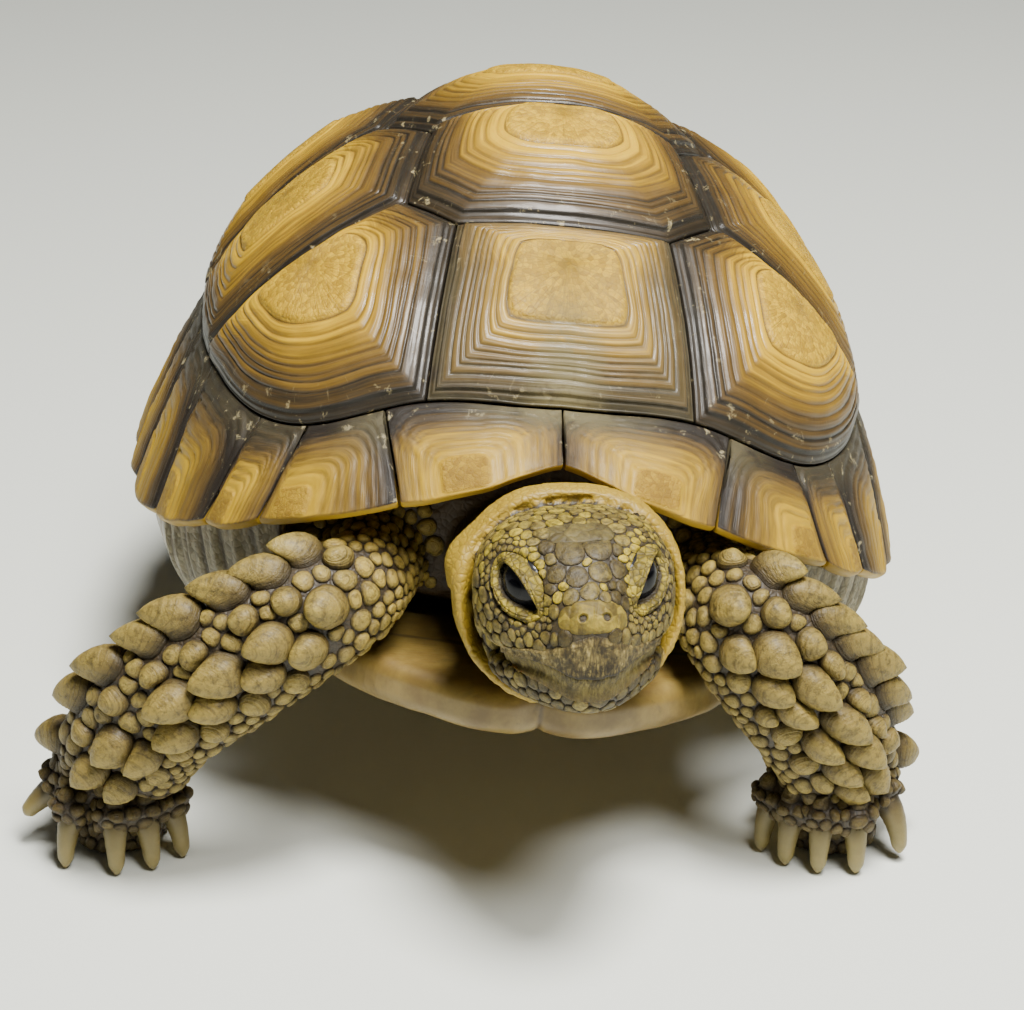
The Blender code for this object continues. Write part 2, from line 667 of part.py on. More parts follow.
def ring_across(place, way, wide_side, wide, thick, count):
    way = unit(np.asarray(way, float))
    wide_side = np.asarray(wide_side, float)
    across = unit(wide_side - way * (wide_side @ way))
    return oval(place, across, np.cross(way, across), wide, thick, count)


def along_path(nodes, station):
    """Place, half width and half thickness at a station between the nodes of a path."""
    steps = np.arange(len(nodes))
    return np.array([curve(station, steps, nodes[:, i]) for i in range(nodes.shape[1])])


def scale_rise(index, row, count, side, spurs):
    """How far a corner of a ring stands out as the tip of a scale in a row."""
    angle = (index / count * 360 + 180) % 360 - 180
    if index == 0:
        return SPUR_RISE if spurs else REAR_RISE
    if abs(angle - side * 90) < SCALED_HALF and (index + row) % 2 == 0:
        return SCALE_RISE if spurs else REAR_RISE
    return 0.0


def raised(ring, centre, row, side, spurs):
    out = unit(ring - centre)
    rises = [scale_rise(i, row, len(ring), side, spurs) for i in range(len(ring))]
    return ring + out * np.array(rises)[:, None]


def leg(name, material):
    spec = LEGS[name]
    side = spec["side"]
    front = name.startswith("front")
    count = FRONT_SIDES if front else REAR_SIDES
    rows = SCALE_ROWS if front else REAR_ROWS
    root = ring_across(spec["root"], spec["way"], spec["wide_side"], *spec["root_size"], count)
    rings = [shell_to_world(root)]
    nodes = np.array([(*place, wide, thick) for place, wide, thick in spec["path"]])
    last = len(nodes) - 1
    first_row = 1.0 if front else 0.4
    stations = [0.0, 0.55] if front else [0.0]
    for r in range(rows):
        start = first_row + (last - first_row) * (r + 0.6) / rows
        stations += [start, start + ROW_LENGTH]
    for number, station in enumerate(s for s in stations if s <= last):
        here = along_path(nodes, station)
        ahead = along_path(nodes, min(station + 0.1, last))
        behind = along_path(nodes, max(station - 0.1, 0))
        way = ahead[:3] - behind[:3]
        ring = ring_across(here[:3], way, spec["wide_side"], here[3], here[4], count)
        row = number - (2 if front else 1)
        if row >= 0 and row % 2 == 0:
            ring = raised(ring, here[:3], row // 2, side, front)
        rings.append(ring)
    x, y = spec["sole"]
    for height, radius in FOOT_RINGS:
        rings.append(ring_across((x, y, height), (0, 0, -1), (side, 0, 0), radius, radius, count))
    rings_part(f"leg_{name}", rings, material)


def claw(name, foot, turn, lift, side, reach, material):
    """A blunt claw that curves out and down; turn is from straight ahead, lift raises the tip."""
    angle = math.radians(turn)
    out = np.array([side * math.sin(angle), -math.cos(angle), 0])
    root_way = out * math.cos(CLAW_SLOPE) + [0, 0, -math.sin(CLAW_SLOPE)]
    start = np.array([*foot, CLAW_HEIGHT]) + out * CLAW_REACH + root_way * CLAW_START
    end = np.array([*foot, CLAW_CLEARANCE + lift]) + out * (reach + CLAW_SPREAD * lift)
    bend = start + root_way * CLAW_CURVE
    rings = []
    for t in CLAW_STATIONS:
        place = (1 - t) ** 2 * start + 2 * t * (1 - t) * bend + t * t * end
        way = unit(2 * (1 - t) * (bend - start) + 2 * t * (end - bend))
        across = unit(np.cross(way, out))
        share = 1 - CLAW_TAPER * t ** 2
        up = np.cross(way, across)
        rings.append(oval(place, across, up, CLAW_HALF_WIDTH * share, CLAW_HALF_HEIGHT * share, 8))
    return rings_part(name, rings, material, end_tip=end)


def legs_and_claws(skin, horn):
    for name, spec in LEGS.items():
        leg(name, skin)
        for i, (turn, lift) in enumerate(spec["claws"]):
            claw(f"claw_{name}_{i + 1}", spec["sole"], turn, lift, spec["side"], spec["reach"], horn)


# ---- the model ----

def clear_scene():
    for old in list(bpy.data.objects):
        bpy.data.objects.remove(old)


def main():
    clear_scene()
    scute = skin_material("scute", (0.42, 0.27, 0.12), 0.35)
    margin = skin_material("marginal_scute", (0.52, 0.36, 0.17), 0.4)
    belly = skin_material("plastron_scute", (0.66, 0.52, 0.28), 0.45)
    head_skin = skin_material("head_skin", (0.30, 0.25, 0.15), 0.55)
    collar_skin = skin_material("collar_skin", (0.50, 0.40, 0.17), 0.6)
    leg_skin = skin_material("leg_skin", (0.38, 0.31, 0.17), 0.6)
    dark_skin = skin_material("inner_skin", (0.10, 0.08, 0.06), 0.7)
    horn = skin_material("claw_horn", (0.36, 0.31, 0.17), 0.4)
    eye = skin_material("eye", (0.01, 0.01, 0.015), 0.08)
    large_plates(scute)
    marginal_ring(margin)
    lobe("plastron_front", FRONT_LOBE, 0.5, belly)
    plastron_middle(belly)
    lobe("plastron_rear", REAR_LOBE, 0.0, belly)
    trunk(dark_skin)
    neck(collar_skin)
    head(head_skin)
    lower_jaw(head_skin)
    eyes(eye)
    tail(leg_skin)
    legs_and_claws(leg_skin, horn)


main()
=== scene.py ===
# The finished look of the young sulcata tortoise: horn, skin, scales, claws and eyes over the solid frame.
# Lengths are millimetres in the animal's own axes: it faces -Y, its left side is +X, and z = 0 is the floor.
import math

import bpy
import numpy as np
from mathutils import Euler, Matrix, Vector
from mathutils.bvhtree import BVHTree
from mathutils.kdtree import KDTree


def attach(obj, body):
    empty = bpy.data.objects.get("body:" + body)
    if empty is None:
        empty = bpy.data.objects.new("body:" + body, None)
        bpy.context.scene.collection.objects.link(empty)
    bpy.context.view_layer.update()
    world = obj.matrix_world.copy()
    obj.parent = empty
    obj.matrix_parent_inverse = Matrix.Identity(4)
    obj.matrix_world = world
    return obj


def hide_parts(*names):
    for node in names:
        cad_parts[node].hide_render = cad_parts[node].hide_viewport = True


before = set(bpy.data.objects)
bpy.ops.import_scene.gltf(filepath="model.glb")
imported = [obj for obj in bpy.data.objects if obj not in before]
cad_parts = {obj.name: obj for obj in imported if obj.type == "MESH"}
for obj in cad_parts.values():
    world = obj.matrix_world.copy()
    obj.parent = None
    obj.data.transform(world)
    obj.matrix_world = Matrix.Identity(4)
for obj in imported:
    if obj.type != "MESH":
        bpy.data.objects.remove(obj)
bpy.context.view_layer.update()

planMiddle = np.array([-8.1, -11.7, 0.0])  # where the frame's own origin is


# numbers and noise

def unit(v):
    return v / np.maximum(np.linalg.norm(v, axis=-1, keepdims=True), 1e-9)


def ease(x, low=0.0, high=1.0):
    t = np.clip((np.asarray(x, float) - low) / (high - low), 0, 1)
    return t * t * (3 - 2 * t)


def curve(x, places, values):
    places = np.asarray(places, float)
    values = np.asarray(values, float)
    slopes = np.gradient(values, places)
    i = np.clip(np.searchsorted(places, x, side="right") - 1, 0, len(places) - 2)
    width = places[i + 1] - places[i]
    t = np.clip((x - places[i]) / width, 0, 1)
    start = (1 + 2 * t) * (1 - t) ** 2 * values[i] + t * (1 - t) ** 2 * width * slopes[i]
    return start + t * t * (3 - 2 * t) * values[i + 1] + t * t * (t - 1) * width * slopes[i + 1]


def noise(points, size, seed=0):
    # smooth noise from -1 to 1 with features of that size
    cells = np.asarray(points, float) / size + 31.7 * seed + 500
    base = np.floor(cells).astype(np.int64)
    part = cells - base
    part = part * part * (3 - 2 * part)
    total = 0
    for corner in np.ndindex(2, 2, 2):
        spot = base + np.array(corner)
        mixed = spot[..., 0] * 73856093 ^ spot[..., 1] * 19349663 ^ spot[..., 2] * 83492791
        mixed = (mixed ^ (mixed >> 13)) * 1274126177
        value = ((mixed ^ (mixed >> 16)) & 0xFFFF) / 32767.5 - 1
        weight = np.prod(np.where(np.array(corner) == 1, part, 1 - part), axis=-1)
        total = total + value * weight
    return total


bothSides = ((1, "left"), (-1, "right"))
sideways, upwards = np.array([1.0, 0, 0]), np.array([0, 0, 1.0])


def circle(count):
    # cosines and sines of evenly spaced turns
    angles = np.arange(count) * 2 * math.pi / count
    return np.cos(angles), np.sin(angles)


def squared(values, power):
    # cosines or sines of a circle made squarer
    return np.sign(values) * np.abs(values) ** (2 / power)


def searchTree(points):
    tree = KDTree(len(points))
    for i, point in enumerate(points):
        tree.insert(point, i)
    tree.balance()
    return tree


def rowAt(rows, station):
    # a row of numbers between the rows of a table
    rows = np.array(rows, float)
    steps = np.arange(len(rows))
    return np.array([float(curve(station, steps, column)) for column in rows.T])


# meshes

def ringShape(rings, startTip=None, endTip=None, marks=None, patch=None):
    # closed rings of equal length joined in turn, with a fan at each end; a mark is (grid, start, end)
    rings = np.asarray(rings, float)
    rows, columns = rings.shape[:2]
    startTip = rings[0].mean(axis=0) if startTip is None else startTip
    endTip = rings[-1].mean(axis=0) if endTip is None else endTip
    points = np.concatenate([rings.reshape(-1, 3), [startTip, endTip]])
    c = np.arange(columns)
    n = (c + 1) % columns
    r = np.arange(rows - 1)[:, None] * columns
    quads = np.stack([r + c, r + n, r + n + columns, r + c + columns], axis=-1).reshape(-1, 4)
    last = (rows - 1) * columns
    start = np.stack([n, c, np.full(columns, rows * columns)], axis=-1)
    end = np.stack([last + c, last + n, np.full(columns, rows * columns + 1)], axis=-1)
    shape = {"points": points, "quads": quads, "tris": np.concatenate([start, end]), "marks": {}}
    for name, (grid, first, final) in (marks or {}).items():
        grid = np.broadcast_to(grid, (rows, columns))
        shape["marks"][name] = np.concatenate([grid.ravel(), [first, final]])
    if patch is not None:
        grid, first, final = patch
        shape["patch"] = np.concatenate([grid.reshape(-1, 2), [first, final]])
    return facingOut(shape)


def facingOut(shape):
    p = shape["points"] - shape["points"].mean(axis=0)
    q = shape["quads"]
    t = np.concatenate([shape["tris"], q[:, [0, 1, 2]], q[:, [0, 2, 3]]])
    volume = np.einsum("ij,ij->i", p[t[:, 0]], np.cross(p[t[:, 1]], p[t[:, 2]])).sum()
    if volume < 0:
        shape["quads"] = q[:, ::-1]
        shape["tris"] = shape["tris"][:, ::-1]
    return shape


def joinShapes(shapes):
    offsets = np.cumsum([0] + [len(s["points"]) for s in shapes[:-1]])
    joined = {"points": np.concatenate([s["points"] for s in shapes])}
    for key in ("quads", "tris"):
        joined[key] = np.concatenate([s[key] + o for s, o in zip(shapes, offsets)])
    joined["marks"] = {
        name: np.concatenate([s["marks"][name] for s in shapes]) for name in shapes[0]["marks"]
    }
    if "patch" in shapes[0]:
        joined["patch"] = np.concatenate([s["patch"] for s in shapes])
    return joined


def toScene(points):
    return ((points - planMiddle) * 0.001).ravel()


def writeMarks(mesh, marks):
    for name, values in marks.items():
        mark = mesh.attributes.new(name, "FLOAT", "POINT")
        mark.data.foreach_set("value", values.astype(np.float32))


def addObject(name, data):
    made = bpy.data.objects.new(name, data)
    bpy.context.collection.objects.link(made)
    return made


def toMesh(name, shape):
    quads, tris = shape["quads"], shape["tris"]
    corners = np.concatenate([quads.ravel(), tris.ravel()]).astype(np.int32)
    starts = np.concatenate([np.arange(len(quads)) * 4, len(quads) * 4 + np.arange(len(tris)) * 3])
    mesh = bpy.data.meshes.new(name)
    mesh.vertices.add(len(shape["points"]))
    mesh.loops.add(len(corners))
    mesh.polygons.add(len(starts))
    mesh.vertices.foreach_set("co", toScene(shape["points"]))
    mesh.loops.foreach_set("vertex_index", corners)
    mesh.polygons.foreach_set("loop_start", starts.astype(np.int32))
    mesh.polygons.foreach_set("use_smooth", np.ones(len(starts), bool))
    mesh.update(calc_edges=True)
    writeMarks(mesh, shape["marks"])
    if "patch" in shape:
        layer = mesh.uv_layers.new(name="OFBake")
        layer.data.foreach_set("uv", shape["patch"][corners].astype(np.float32).ravel())
    mesh.validate()
    return mesh


def makePiece(name, shape, material, slot, *nodes):
    piece = addObject(name, toMesh(name, shape))
    piece.data.materials.append(material)
    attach(piece, "root")
    if nodes:
        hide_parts(*nodes)


# the shell's form

shell = {
    "roll": math.radians(6.56), "pitch": math.radians(-4.51), "pivot": 20.0, "lift": 21.0,
    "centre": np.array([0.0, 6.0, 14.0]), "halfWidth": 52.5, "front": 65.0, "rear": 54.7, "height": 55.8,
    "planPower": 2.5, "profilePower": 1.7, "plateInside": 0.93, "fleshInside": 0.91, "gap": 0.14,
    "edgeAngles": (0, 18, 36, 60, 90, 122, 150, 165, 180),
    "edgeHeights": (38, 37, 30.5, 31.5, 33, 32, 31, 34, 36),
    "rimHalfWidth": 55.3, "rimFront": 66.0, "rimRear": 60.0, "rimNotch": 2.5, "rimFlare": 1.0,
    "rimDepth": 7.0,
    "rimAngles": (0, 8, 18, 35, 44, 59, 76, 108, 125, 145, 165, 180),
    "rimHeights": (32, 31, 26.8, 18.4, 15, 10.4, 9.2, 9.6, 13.6, 17.5, 14.5, 13),
}


def planRadius(angle, halfWidth, front, rear):
    power = shell["planPower"]
    along = np.where(np.cos(angle) >= 0, front, rear)
    across = (np.abs(np.sin(angle)) / halfWidth) ** power
    return (across + (np.abs(np.cos(angle)) / along) ** power) ** (-1 / power)


def roundPoint(angle, radius, height):
    x = radius * np.sin(angle)
    y = shell["centre"][1] - radius * np.cos(angle)
    return np.stack([x, y, height + 0 * x], axis=-1)


def domeShare(points):
    q = np.asarray(points, float) - shell["centre"]
    along = np.where(q[..., 1] < 0, shell["front"], shell["rear"])
    power, profile = shell["planPower"], shell["profilePower"]
    plan = (np.abs(q[..., 0]) / shell["halfWidth"]) ** power + (np.abs(q[..., 1]) / along) ** power
    total = plan ** (profile / power) + (np.abs(q[..., 2]) / shell["height"]) ** profile
    return total ** (1 / profile)


def onDome(points, share=1.0):
    q = np.asarray(points, float) - shell["centre"]
    return shell["centre"] + q * (share / domeShare(points))[..., None]


def domeNormal(points):
    steps = np.eye(3) * 0.01
    return unit(np.stack([domeShare(points + s) - domeShare(points - s) for s in steps], axis=-1))


def domeHeight(x, y):
    power, profile = shell["planPower"], shell["profilePower"]
    along = shell["front"] if y < shell["centre"][1] else shell["rear"]
    plan = abs(x / shell["halfWidth"]) ** power + abs((y - shell["centre"][1]) / along) ** power
    return shell["centre"][2] + shell["height"] * (1 - plan ** (profile / power)) ** (1 / profile)


def domeRadius(angle, height, share=1.0):
    profile = shell["profilePower"]
    rise = np.abs(height - shell["centre"][2]) / (shell["height"] * share)
    level = np.clip(1 - rise ** profile, 0, 1) ** (1 / profile)
    return share * level * planRadius(angle, shell["halfWidth"], shell["front"], shell["rear"])


def folded(degrees):
    return np.abs((np.asarray(degrees, float) + 180) % 360 - 180)


def edgePoint(degrees):
    height = curve(folded(degrees), shell["edgeAngles"], shell["edgeHeights"])
    angle = np.radians(degrees)
    return roundPoint(angle, domeRadius(angle, height), height)


def rimPoint(degrees):
    away = folded(degrees)
    height = curve(away, shell["rimAngles"], shell["rimHeights"])
    angle = np.radians(degrees)
    radius = planRadius(angle, shell["rimHalfWidth"], shell["rimFront"], shell["rimRear"])
    return roundPoint(angle, radius - shell["rimNotch"] * np.exp(-((away / 9) ** 2)), height)


def shellToWorld(points):
    turn = np.array(Euler((shell["pitch"], shell["roll"], 0)).to_matrix())
    pivot = np.array([0, 0, shell["pivot"]])
    return (points - pivot) @ turn.T + pivot + [0, 0, shell["lift"]]


# shader trees

class Flow:
    # a value in a shader tree; arithmetic on it adds math nodes
    def __init__(self, tree, socket):
        self.tree = tree
        self.socket = socket

    def math(self, operation, other=0.0, clamp=False):
        return calc(self.tree, operation, self, other, clamp)

    def __add__(self, other):
        return self.math("ADD", other)

    def __sub__(self, other):
        return self.math("SUBTRACT", other)

    def __rsub__(self, other):
        return calc(self.tree, "SUBTRACT", other, self)

    def __mul__(self, other):
        return self.math("MULTIPLY", other)

    def __truediv__(self, other):
        return self.math("DIVIDE", other)

    def __rtruediv__(self, other):
        return calc(self.tree, "DIVIDE", other, self)

    def __pow__(self, other):
        return self.math("POWER", other)

    def __abs__(self):
        return self.math("ABSOLUTE")


def fill(tree, socket, value):
    if isinstance(value, Flow):
        tree.links.new(value.socket, socket)
    else:
        socket.default_value = (*value, 1) if socket.type == "RGBA" else value


def addNode(tree, kind, inputs=None, **settings):
    made = tree.nodes.new("ShaderNode" + kind)
    for key, value in settings.items():
        setattr(made, key, value)
    for key, value in (inputs or {}).items():
        fill(tree, made.inputs[key], value)
    return made


def calc(tree, operation, one, two, clamp=False):
    made = addNode(tree, "Math", {0: one, 1: two}, operation=operation, use_clamp=clamp)
    return Flow(tree, made.outputs[0])


class Sheet:
    # a shader tree, with short ways to add to it
    def __init__(self, tree):
        self.tree = tree

    def flow(self, kind, output, inputs=None, **settings):
        return Flow(self.tree, addNode(self.tree, kind, inputs, **settings).outputs[output])

    def marks(self, names):
        # values that the meshes carry
        return [self.flow("Attribute", "Fac", attribute_name=name) for name in names.split()]

    def here(self):
        return self.flow("TexCoord", "Object")

    def noise(self, inputs, **settings):
        return self.flow("TexNoise", "Fac", inputs, **settings)

    def point(self, **axes):
        return self.flow("CombineXYZ", 0, axes)

    def span(self, value, low, high):
        return self.flow("MapRange", "Result", {"Value": value, "To Min": low, "To Max": high})

    def ease(self, value, low, high):
        inputs = {"Value": value, "From Min": low, "From Max": high}
        return self.flow("MapRange", "Result", inputs, interpolation_type="SMOOTHSTEP")

    def mix(self, factor, one, two, blend="MIX"):
        inputs = {"Factor": factor, 6: one, 7: two}
        return self.flow("Mix", 2, inputs, data_type="RGBA", blend_type=blend)

    def tinted(self, colour, value):
        # the colour times a grey
        grey = self.flow("CombineColor", 0, {0: value, 1: value, 2: value})
        return self.mix(1.0, colour, grey, "MULTIPLY")

    def ramp(self, factor, stops):
        made = addNode(self.tree, "ValToRGB", {"Fac": factor})
        elements = made.color_ramp.elements
        while len(elements) < len(stops):
            elements.new(0.5)
        for element, (place, colour) in zip(elements, stops):
            element.position = place
            element.color = (*colour, 1)
        return Flow(self.tree, made.outputs["Color"])

    def put(self, group, **inputs):
        made = addNode(self.tree, "Group", inputs, node_tree=group)
        return {socket.name: Flow(self.tree, socket) for socket in made.outputs}

    def grime(self, size, cover, soft):
        return self.put(grimeGroup, Size=size, Cover=cover, Soft=soft)["Mask"]


class SharedGroup(Sheet):
    # a node group of values, made once and used by several materials
    def __init__(self, name, inputs, outputs):
        super().__init__(bpy.data.node_groups.new(name, "ShaderNodeTree"))
        sockets = self.tree.interface
        for socket, value in inputs.items():
            made = sockets.new_socket(socket, in_out="INPUT", socket_type="NodeSocketFloat")
            made.default_value = value
        for socket in outputs:
            sockets.new_socket(socket, in_out="OUTPUT", socket_type="NodeSocketFloat")
        given = self.tree.nodes.new("NodeGroupInput").outputs
        self.given = {socket: Flow(self.tree, given[socket]) for socket in inputs}
        self.result = self.tree.nodes.new("NodeGroupOutput").inputs

    def give(self, **flows):
        for socket, value in flows.items():
            fill(self.tree, self.result[socket], value)
        return self.tree


class Recipe(Sheet):
    # a material being made
    def __init__(self, name, roughness, coat=0.0, coatRoughness=0.2, specular=0.5, subsurface=0.0):
        self.material = bpy.data.materials.new(name)
        self.material.use_nodes = True
        super().__init__(self.material.node_tree)
        self.shade({
            "Roughness": roughness, "Coat Weight": coat, "Coat Roughness": coatRoughness,
            "Specular IOR Level": specular,
        })
        if subsurface:
            self.shade({
                "Subsurface Weight": subsurface, "Subsurface Radius": (1.0, 0.5, 0.2),
                "Subsurface Scale": 0.0008,
            })

    def shade(self, inputs):
        shader = self.tree.nodes["Principled BSDF"]
        for key, value in inputs.items():
            fill(self.tree, shader.inputs[key], value)
        return self.material

    def finish(self, colour, rough, height, strength, distance):
        # the colour, the roughness and the relief put on the shader
        relief = {"Height": height, "Strength": strength, "Distance": distance}
        bump = self.flow("Bump", "Normal", relief)
        return self.shade({"Base Color": colour, "Roughness": rough, "Normal": bump})


def makeGrainGroup():
    # fine mottling in two sizes, as a value for colour and a height for relief
    group = SharedGroup("fineGrain", {"Size": 0.002, "Seed": 0.0}, ("Value", "Height"))
    place, scale = group.here(), 1.0 / group.given["Size"]
    sockets = {"Vector": place, "W": group.given["Seed"], "Scale": scale, "Detail": 5.0, "Roughness": 0.62}
    coarse = group.noise(sockets, noise_dimensions="4D")
    fine = group.noise({"Vector": place, "Scale": scale * 5.0, "Detail": 2.0})
    height = group.flow("Math", 0, {0: fine, 1: 0.35, 2: coarse}, operation="MULTIPLY_ADD")
    return group.give(Value=coarse, Height=height)


def makeGrimeGroup():
    # patches of dirt: 1 where it lies, with a ragged edge
    group = SharedGroup("grime", {"Size": 0.006, "Cover": 0.4, "Soft": 0.12}, ("Mask",))
    cloud = group.noise({
        "Vector": group.here(), "Scale": 1.0 / group.given["Size"], "Detail": 8.0,
        "Roughness": 0.7, "Distortion": 0.4,
    })
    over = cloud + (group.given["Cover"] - 1.0)
    return group.give(Mask=(over / group.given["Soft"]).math("MULTIPLY_ADD", 1.0, clamp=True))


def makePebbleGroup():
    # small raised granules with creases between them
    group = SharedGroup("pebbles", {"Size": 0.0006, "Jumble": 1.0}, ("Height", "Crease", "Tone"))
    sockets = {
        "Vector": group.here(), "Scale": 1.0 / group.given["Size"], "Randomness": group.given["Jumble"],
    }
    edge = group.flow("TexVoronoi", "Distance", sockets, feature="DISTANCE_TO_EDGE")
    cell = group.flow("TexVoronoi", "Color", sockets)
    height = group.flow("MapRange", "Result", {"Value": edge, "From Max": 0.28})
    falling = {"Value": edge, "From Max": 0.09, "To Min": 1.0, "To Max": 0.0}
    crease = group.flow("MapRange", "Result", falling)
    return group.give(Height=height, Crease=crease, Tone=group.flow("SeparateColor", 0, {"Color": cell}))


def makeStreakGroup():
    # lines that run with the growth rings, and scratches that run across them
    inputs = {"Growth": 0.5, "East": 0.0, "North": 0.0, "Seed": 0.0}
    group = SharedGroup("growthStreaks", inputs, ("Lines", "Scratches", "Broad"))
    given = group.given

    def streak(turns, along, detail, roughness):
        place = group.point(X=given["East"] * turns, Y=given["North"] * turns, Z=given["Growth"] * along)
        return group.noise({
            "Vector": place, "W": given["Seed"], "Scale": 1.0, "Detail": detail, "Roughness": roughness,
        }, noise_dimensions="4D")

    return group.give(
        Lines=streak(1.6, 62.0, 3.0, 0.55), Scratches=streak(46.0, 5.0, 3.0, 0.6),
        Broad=streak(1.1, 17.0, 2.0, 0.5),
    )


grainGroup = makeGrainGroup()
grimeGroup = makeGrimeGroup()
pebbleGroup = makePebbleGroup()
streakGroup = makeStreakGroup()


def makeHorn(name, look):
    # shell horn: growth 0 at a plate's first centre and 1 at its seam, with a tone for each ring
    make = Recipe(name, look["roughness"], look["coat"], look["coatRoughness"], 0.3, look["subsurface"])
    growth, ringTone, ridge, areola = make.marks("growth ringTone ridge areola")
    wash, east, north, seed = make.marks("wash east north seed")
    streaks = make.put(streakGroup, Growth=growth, East=east, North=north, Seed=seed)
    lines, scratches = streaks["Lines"], streaks["Scratches"]
    grain = make.put(grainGroup, Size=0.0035)
    # where on the ramp from pale to dark
    level = growth + ringTone * look["ringContrast"] + (lines - 0.5) * look["lineContrast"]
    level = level + (streaks["Broad"] - 0.5) * look["broadContrast"]
    level = level.math("ADD", (1.0 - ridge) * look["grooveDark"], clamp=True)
    colour = make.ramp(level, look["stops"])
    # the first plate of the hatchling, rough and even
    pebble = make.put(pebbleGroup, Size=0.00075)
    old = make.ramp(pebble["Tone"], ((0.0, look["areolaDark"]), (1.0, look["areolaPale"])))
    old = make.mix(pebble["Crease"] * 0.35, old, look["areolaCrease"])
    middle = 1.0 - make.ease(growth, 0.0, 0.16)
    wrinkle = (make.ease(scratches, 0.50, 0.64) * 0.5).math("MAXIMUM", middle * 0.55)
    old = make.mix(wrinkle, old, look["areolaCrease"])
    colour = make.mix(areola, colour, old)
    # pale scratches and flakes
    scratch = make.flow("MapRange", "Result", {"Value": scratches, "From Min": 0.66, "From Max": 0.8})
    scratch = scratch * make.ease(growth, 0.4, 0.8)
    flake = make.grime(0.0022, 0.38, 0.05) * (make.ease(growth, 0.72, 0.98) * look["flakes"])
    colour = make.mix(scratch * look["scratches"], colour, look["flakeColour"])
    colour = make.mix(flake, colour, look["flakeColour"])
    # a greyish bloom of dried dirt
    colour = make.mix(wash * make.grime(0.004, 0.62, 0.25), colour, look["washColour"])
    colour = make.tinted(colour, make.span(grain["Value"], 0.82, 1.16))
    rough = make.flow("MapRange", "Result", {
        "Value": grain["Value"] + wash * 0.5, "From Min": 0.3, "From Max": 1.0,
        "To Min": look["roughness"] - 0.08, "To Max": look["roughness"] + 0.25,
    })
    gloss = (1.0 - areola) * make.ease(grain["Value"], 0.35, 0.6)
    make.shade({"Coat Weight": gloss * look["coat"]})
    height = (lines * 0.7 + scratches * 0.16) * (1.0 - areola)
    height = height + (pebble["Height"] * 0.4 + scratches * 1.3) * areola + grain["Height"] * 0.12
    return make.finish(colour, rough + areola * 0.1, height, look["relief"], 0.00022)


# large plates of the back

largePlates = {
    "corners": {
        "a1": (14.5, -28.3), "a2": (17.5, -6.3), "a3": (17.0, 16.5), "a4": (13.0, 37.0),
        "s2": (21.0, -22.0), "s3": (23.0, 5.0), "s4": (20.0, 27.0),
    },
    # outline, growth centre in plan, rise, share of the areola, dried dirt
    "vertebral": (
        ((-18.2, 18.2, "a1", "-a1"), (0, -36.0), 3.0, 0.45, 1.0),
        (("a1", "s2", "a2", "-a2", "-s2", "-a1"), (0, -10.0), 3.2, 0.38, 0.15),
        (("a2", "s3", "a3", "-a3", "-s3", "-a2"), (0, 12.0), 2.4, 0.40, 0.15),
        (("a3", "s4", "a4", "-a4", "-s4", "-a3"), (0, 32.0), 3.2, 0.40, 0.15),
        (("a4", 150, 210, "-a4"), (0, 42.0), 3.0, 0.42, 0.2),
    ),
    "costal": (
        (("a1", 18.2, 63.4, "s2"), (31.5, -27.0), 3.2, 0.42, 0.15),
        (("s2", 63.4, 93, "s3", "a2"), (35.0, -4.0), 2.8, 0.42, 0.15),
        (("s3", 93, 122, "s4", "a3"), (34.0, 19.0), 3.4, 0.42, 0.15),
        (("s4", 122, 150, "a4"), (26.0, 36.0), 3.2, 0.42, 0.15),
    ),
    "step": 0.95, "ringRows": 92, "areolaRows": 22,
    "ringCount": 10, "ringRelief": 0.26, "wobble": 0.012, "areolaStep": 0.28,
    "scute": {
        "roughness": 0.4, "coat": 0.2, "coatRoughness": 0.1, "subsurface": 0.12, "relief": 0.6,
        "ringContrast": 0.06, "lineContrast": 0.26, "broadContrast": 0.24, "grooveDark": 0.17,
        "stops": (
            (0.0, (0.44, 0.26, 0.010)), (0.40, (0.54, 0.325, 0.010)), (0.50, (0.56, 0.34, 0.012)),
            (0.60, (0.32, 0.185, 0.013)), (0.70, (0.19, 0.110, 0.014)), (0.80, (0.115, 0.066, 0.016)),
            (0.885, (0.066, 0.040, 0.014)), (0.945, (0.032, 0.022, 0.012)), (1.0, (0.016, 0.013, 0.010)),
        ),
        "areolaPale": (0.62, 0.38, 0.014), "areolaDark": (0.36, 0.21, 0.010),
        "areolaCrease": (0.19, 0.11, 0.012),
        "scratches": 0.6, "flakes": 0.7, "flakeColour": (0.40, 0.33, 0.17), "washColour": (0.17, 0.14, 0.062),
    },
}


def cornerPoint(corner):
    mirrored = corner.startswith("-")
    x, y = largePlates["corners"][corner.lstrip("-")]
    return np.array([-x if mirrored else x, y, domeHeight(x, y)])


def plateSide(start, end, step):
    if isinstance(start, str) or isinstance(end, str):
        ends = [cornerPoint(c) if isinstance(c, str) else edgePoint(c) for c in (start, end)]
        count = max(2, round(np.linalg.norm(ends[1] - ends[0]) / step))
        t = np.arange(count)[:, None] / count
        return onDome(ends[0] + (ends[1] - ends[0]) * t)
    count = max(2, round(math.radians(abs(end - start)) * shell["halfWidth"] / step))
    return edgePoint(start + (end - start) * np.arange(count) / count)


def plateOutline(corners, step):
    ends = corners[1:] + corners[:1]
    return np.concatenate([plateSide(a, b, step) for a, b in zip(corners, ends)])


def drawnIn(outline, distance):
    before = unit(outline - np.roll(outline, 1, axis=0))
    after = unit(np.roll(outline, -1, axis=0) - outline)
    inward = np.cross(domeNormal(outline), unit(before + after))
    side = np.sign((inward * (outline.mean(axis=0) - outline)).sum(axis=1))[:, None]
    bend = np.clip((before * unit(before + after)).sum(axis=1), 0.6, 1)[:, None]
    return onDome(outline + side * unit(inward) * distance / bend)


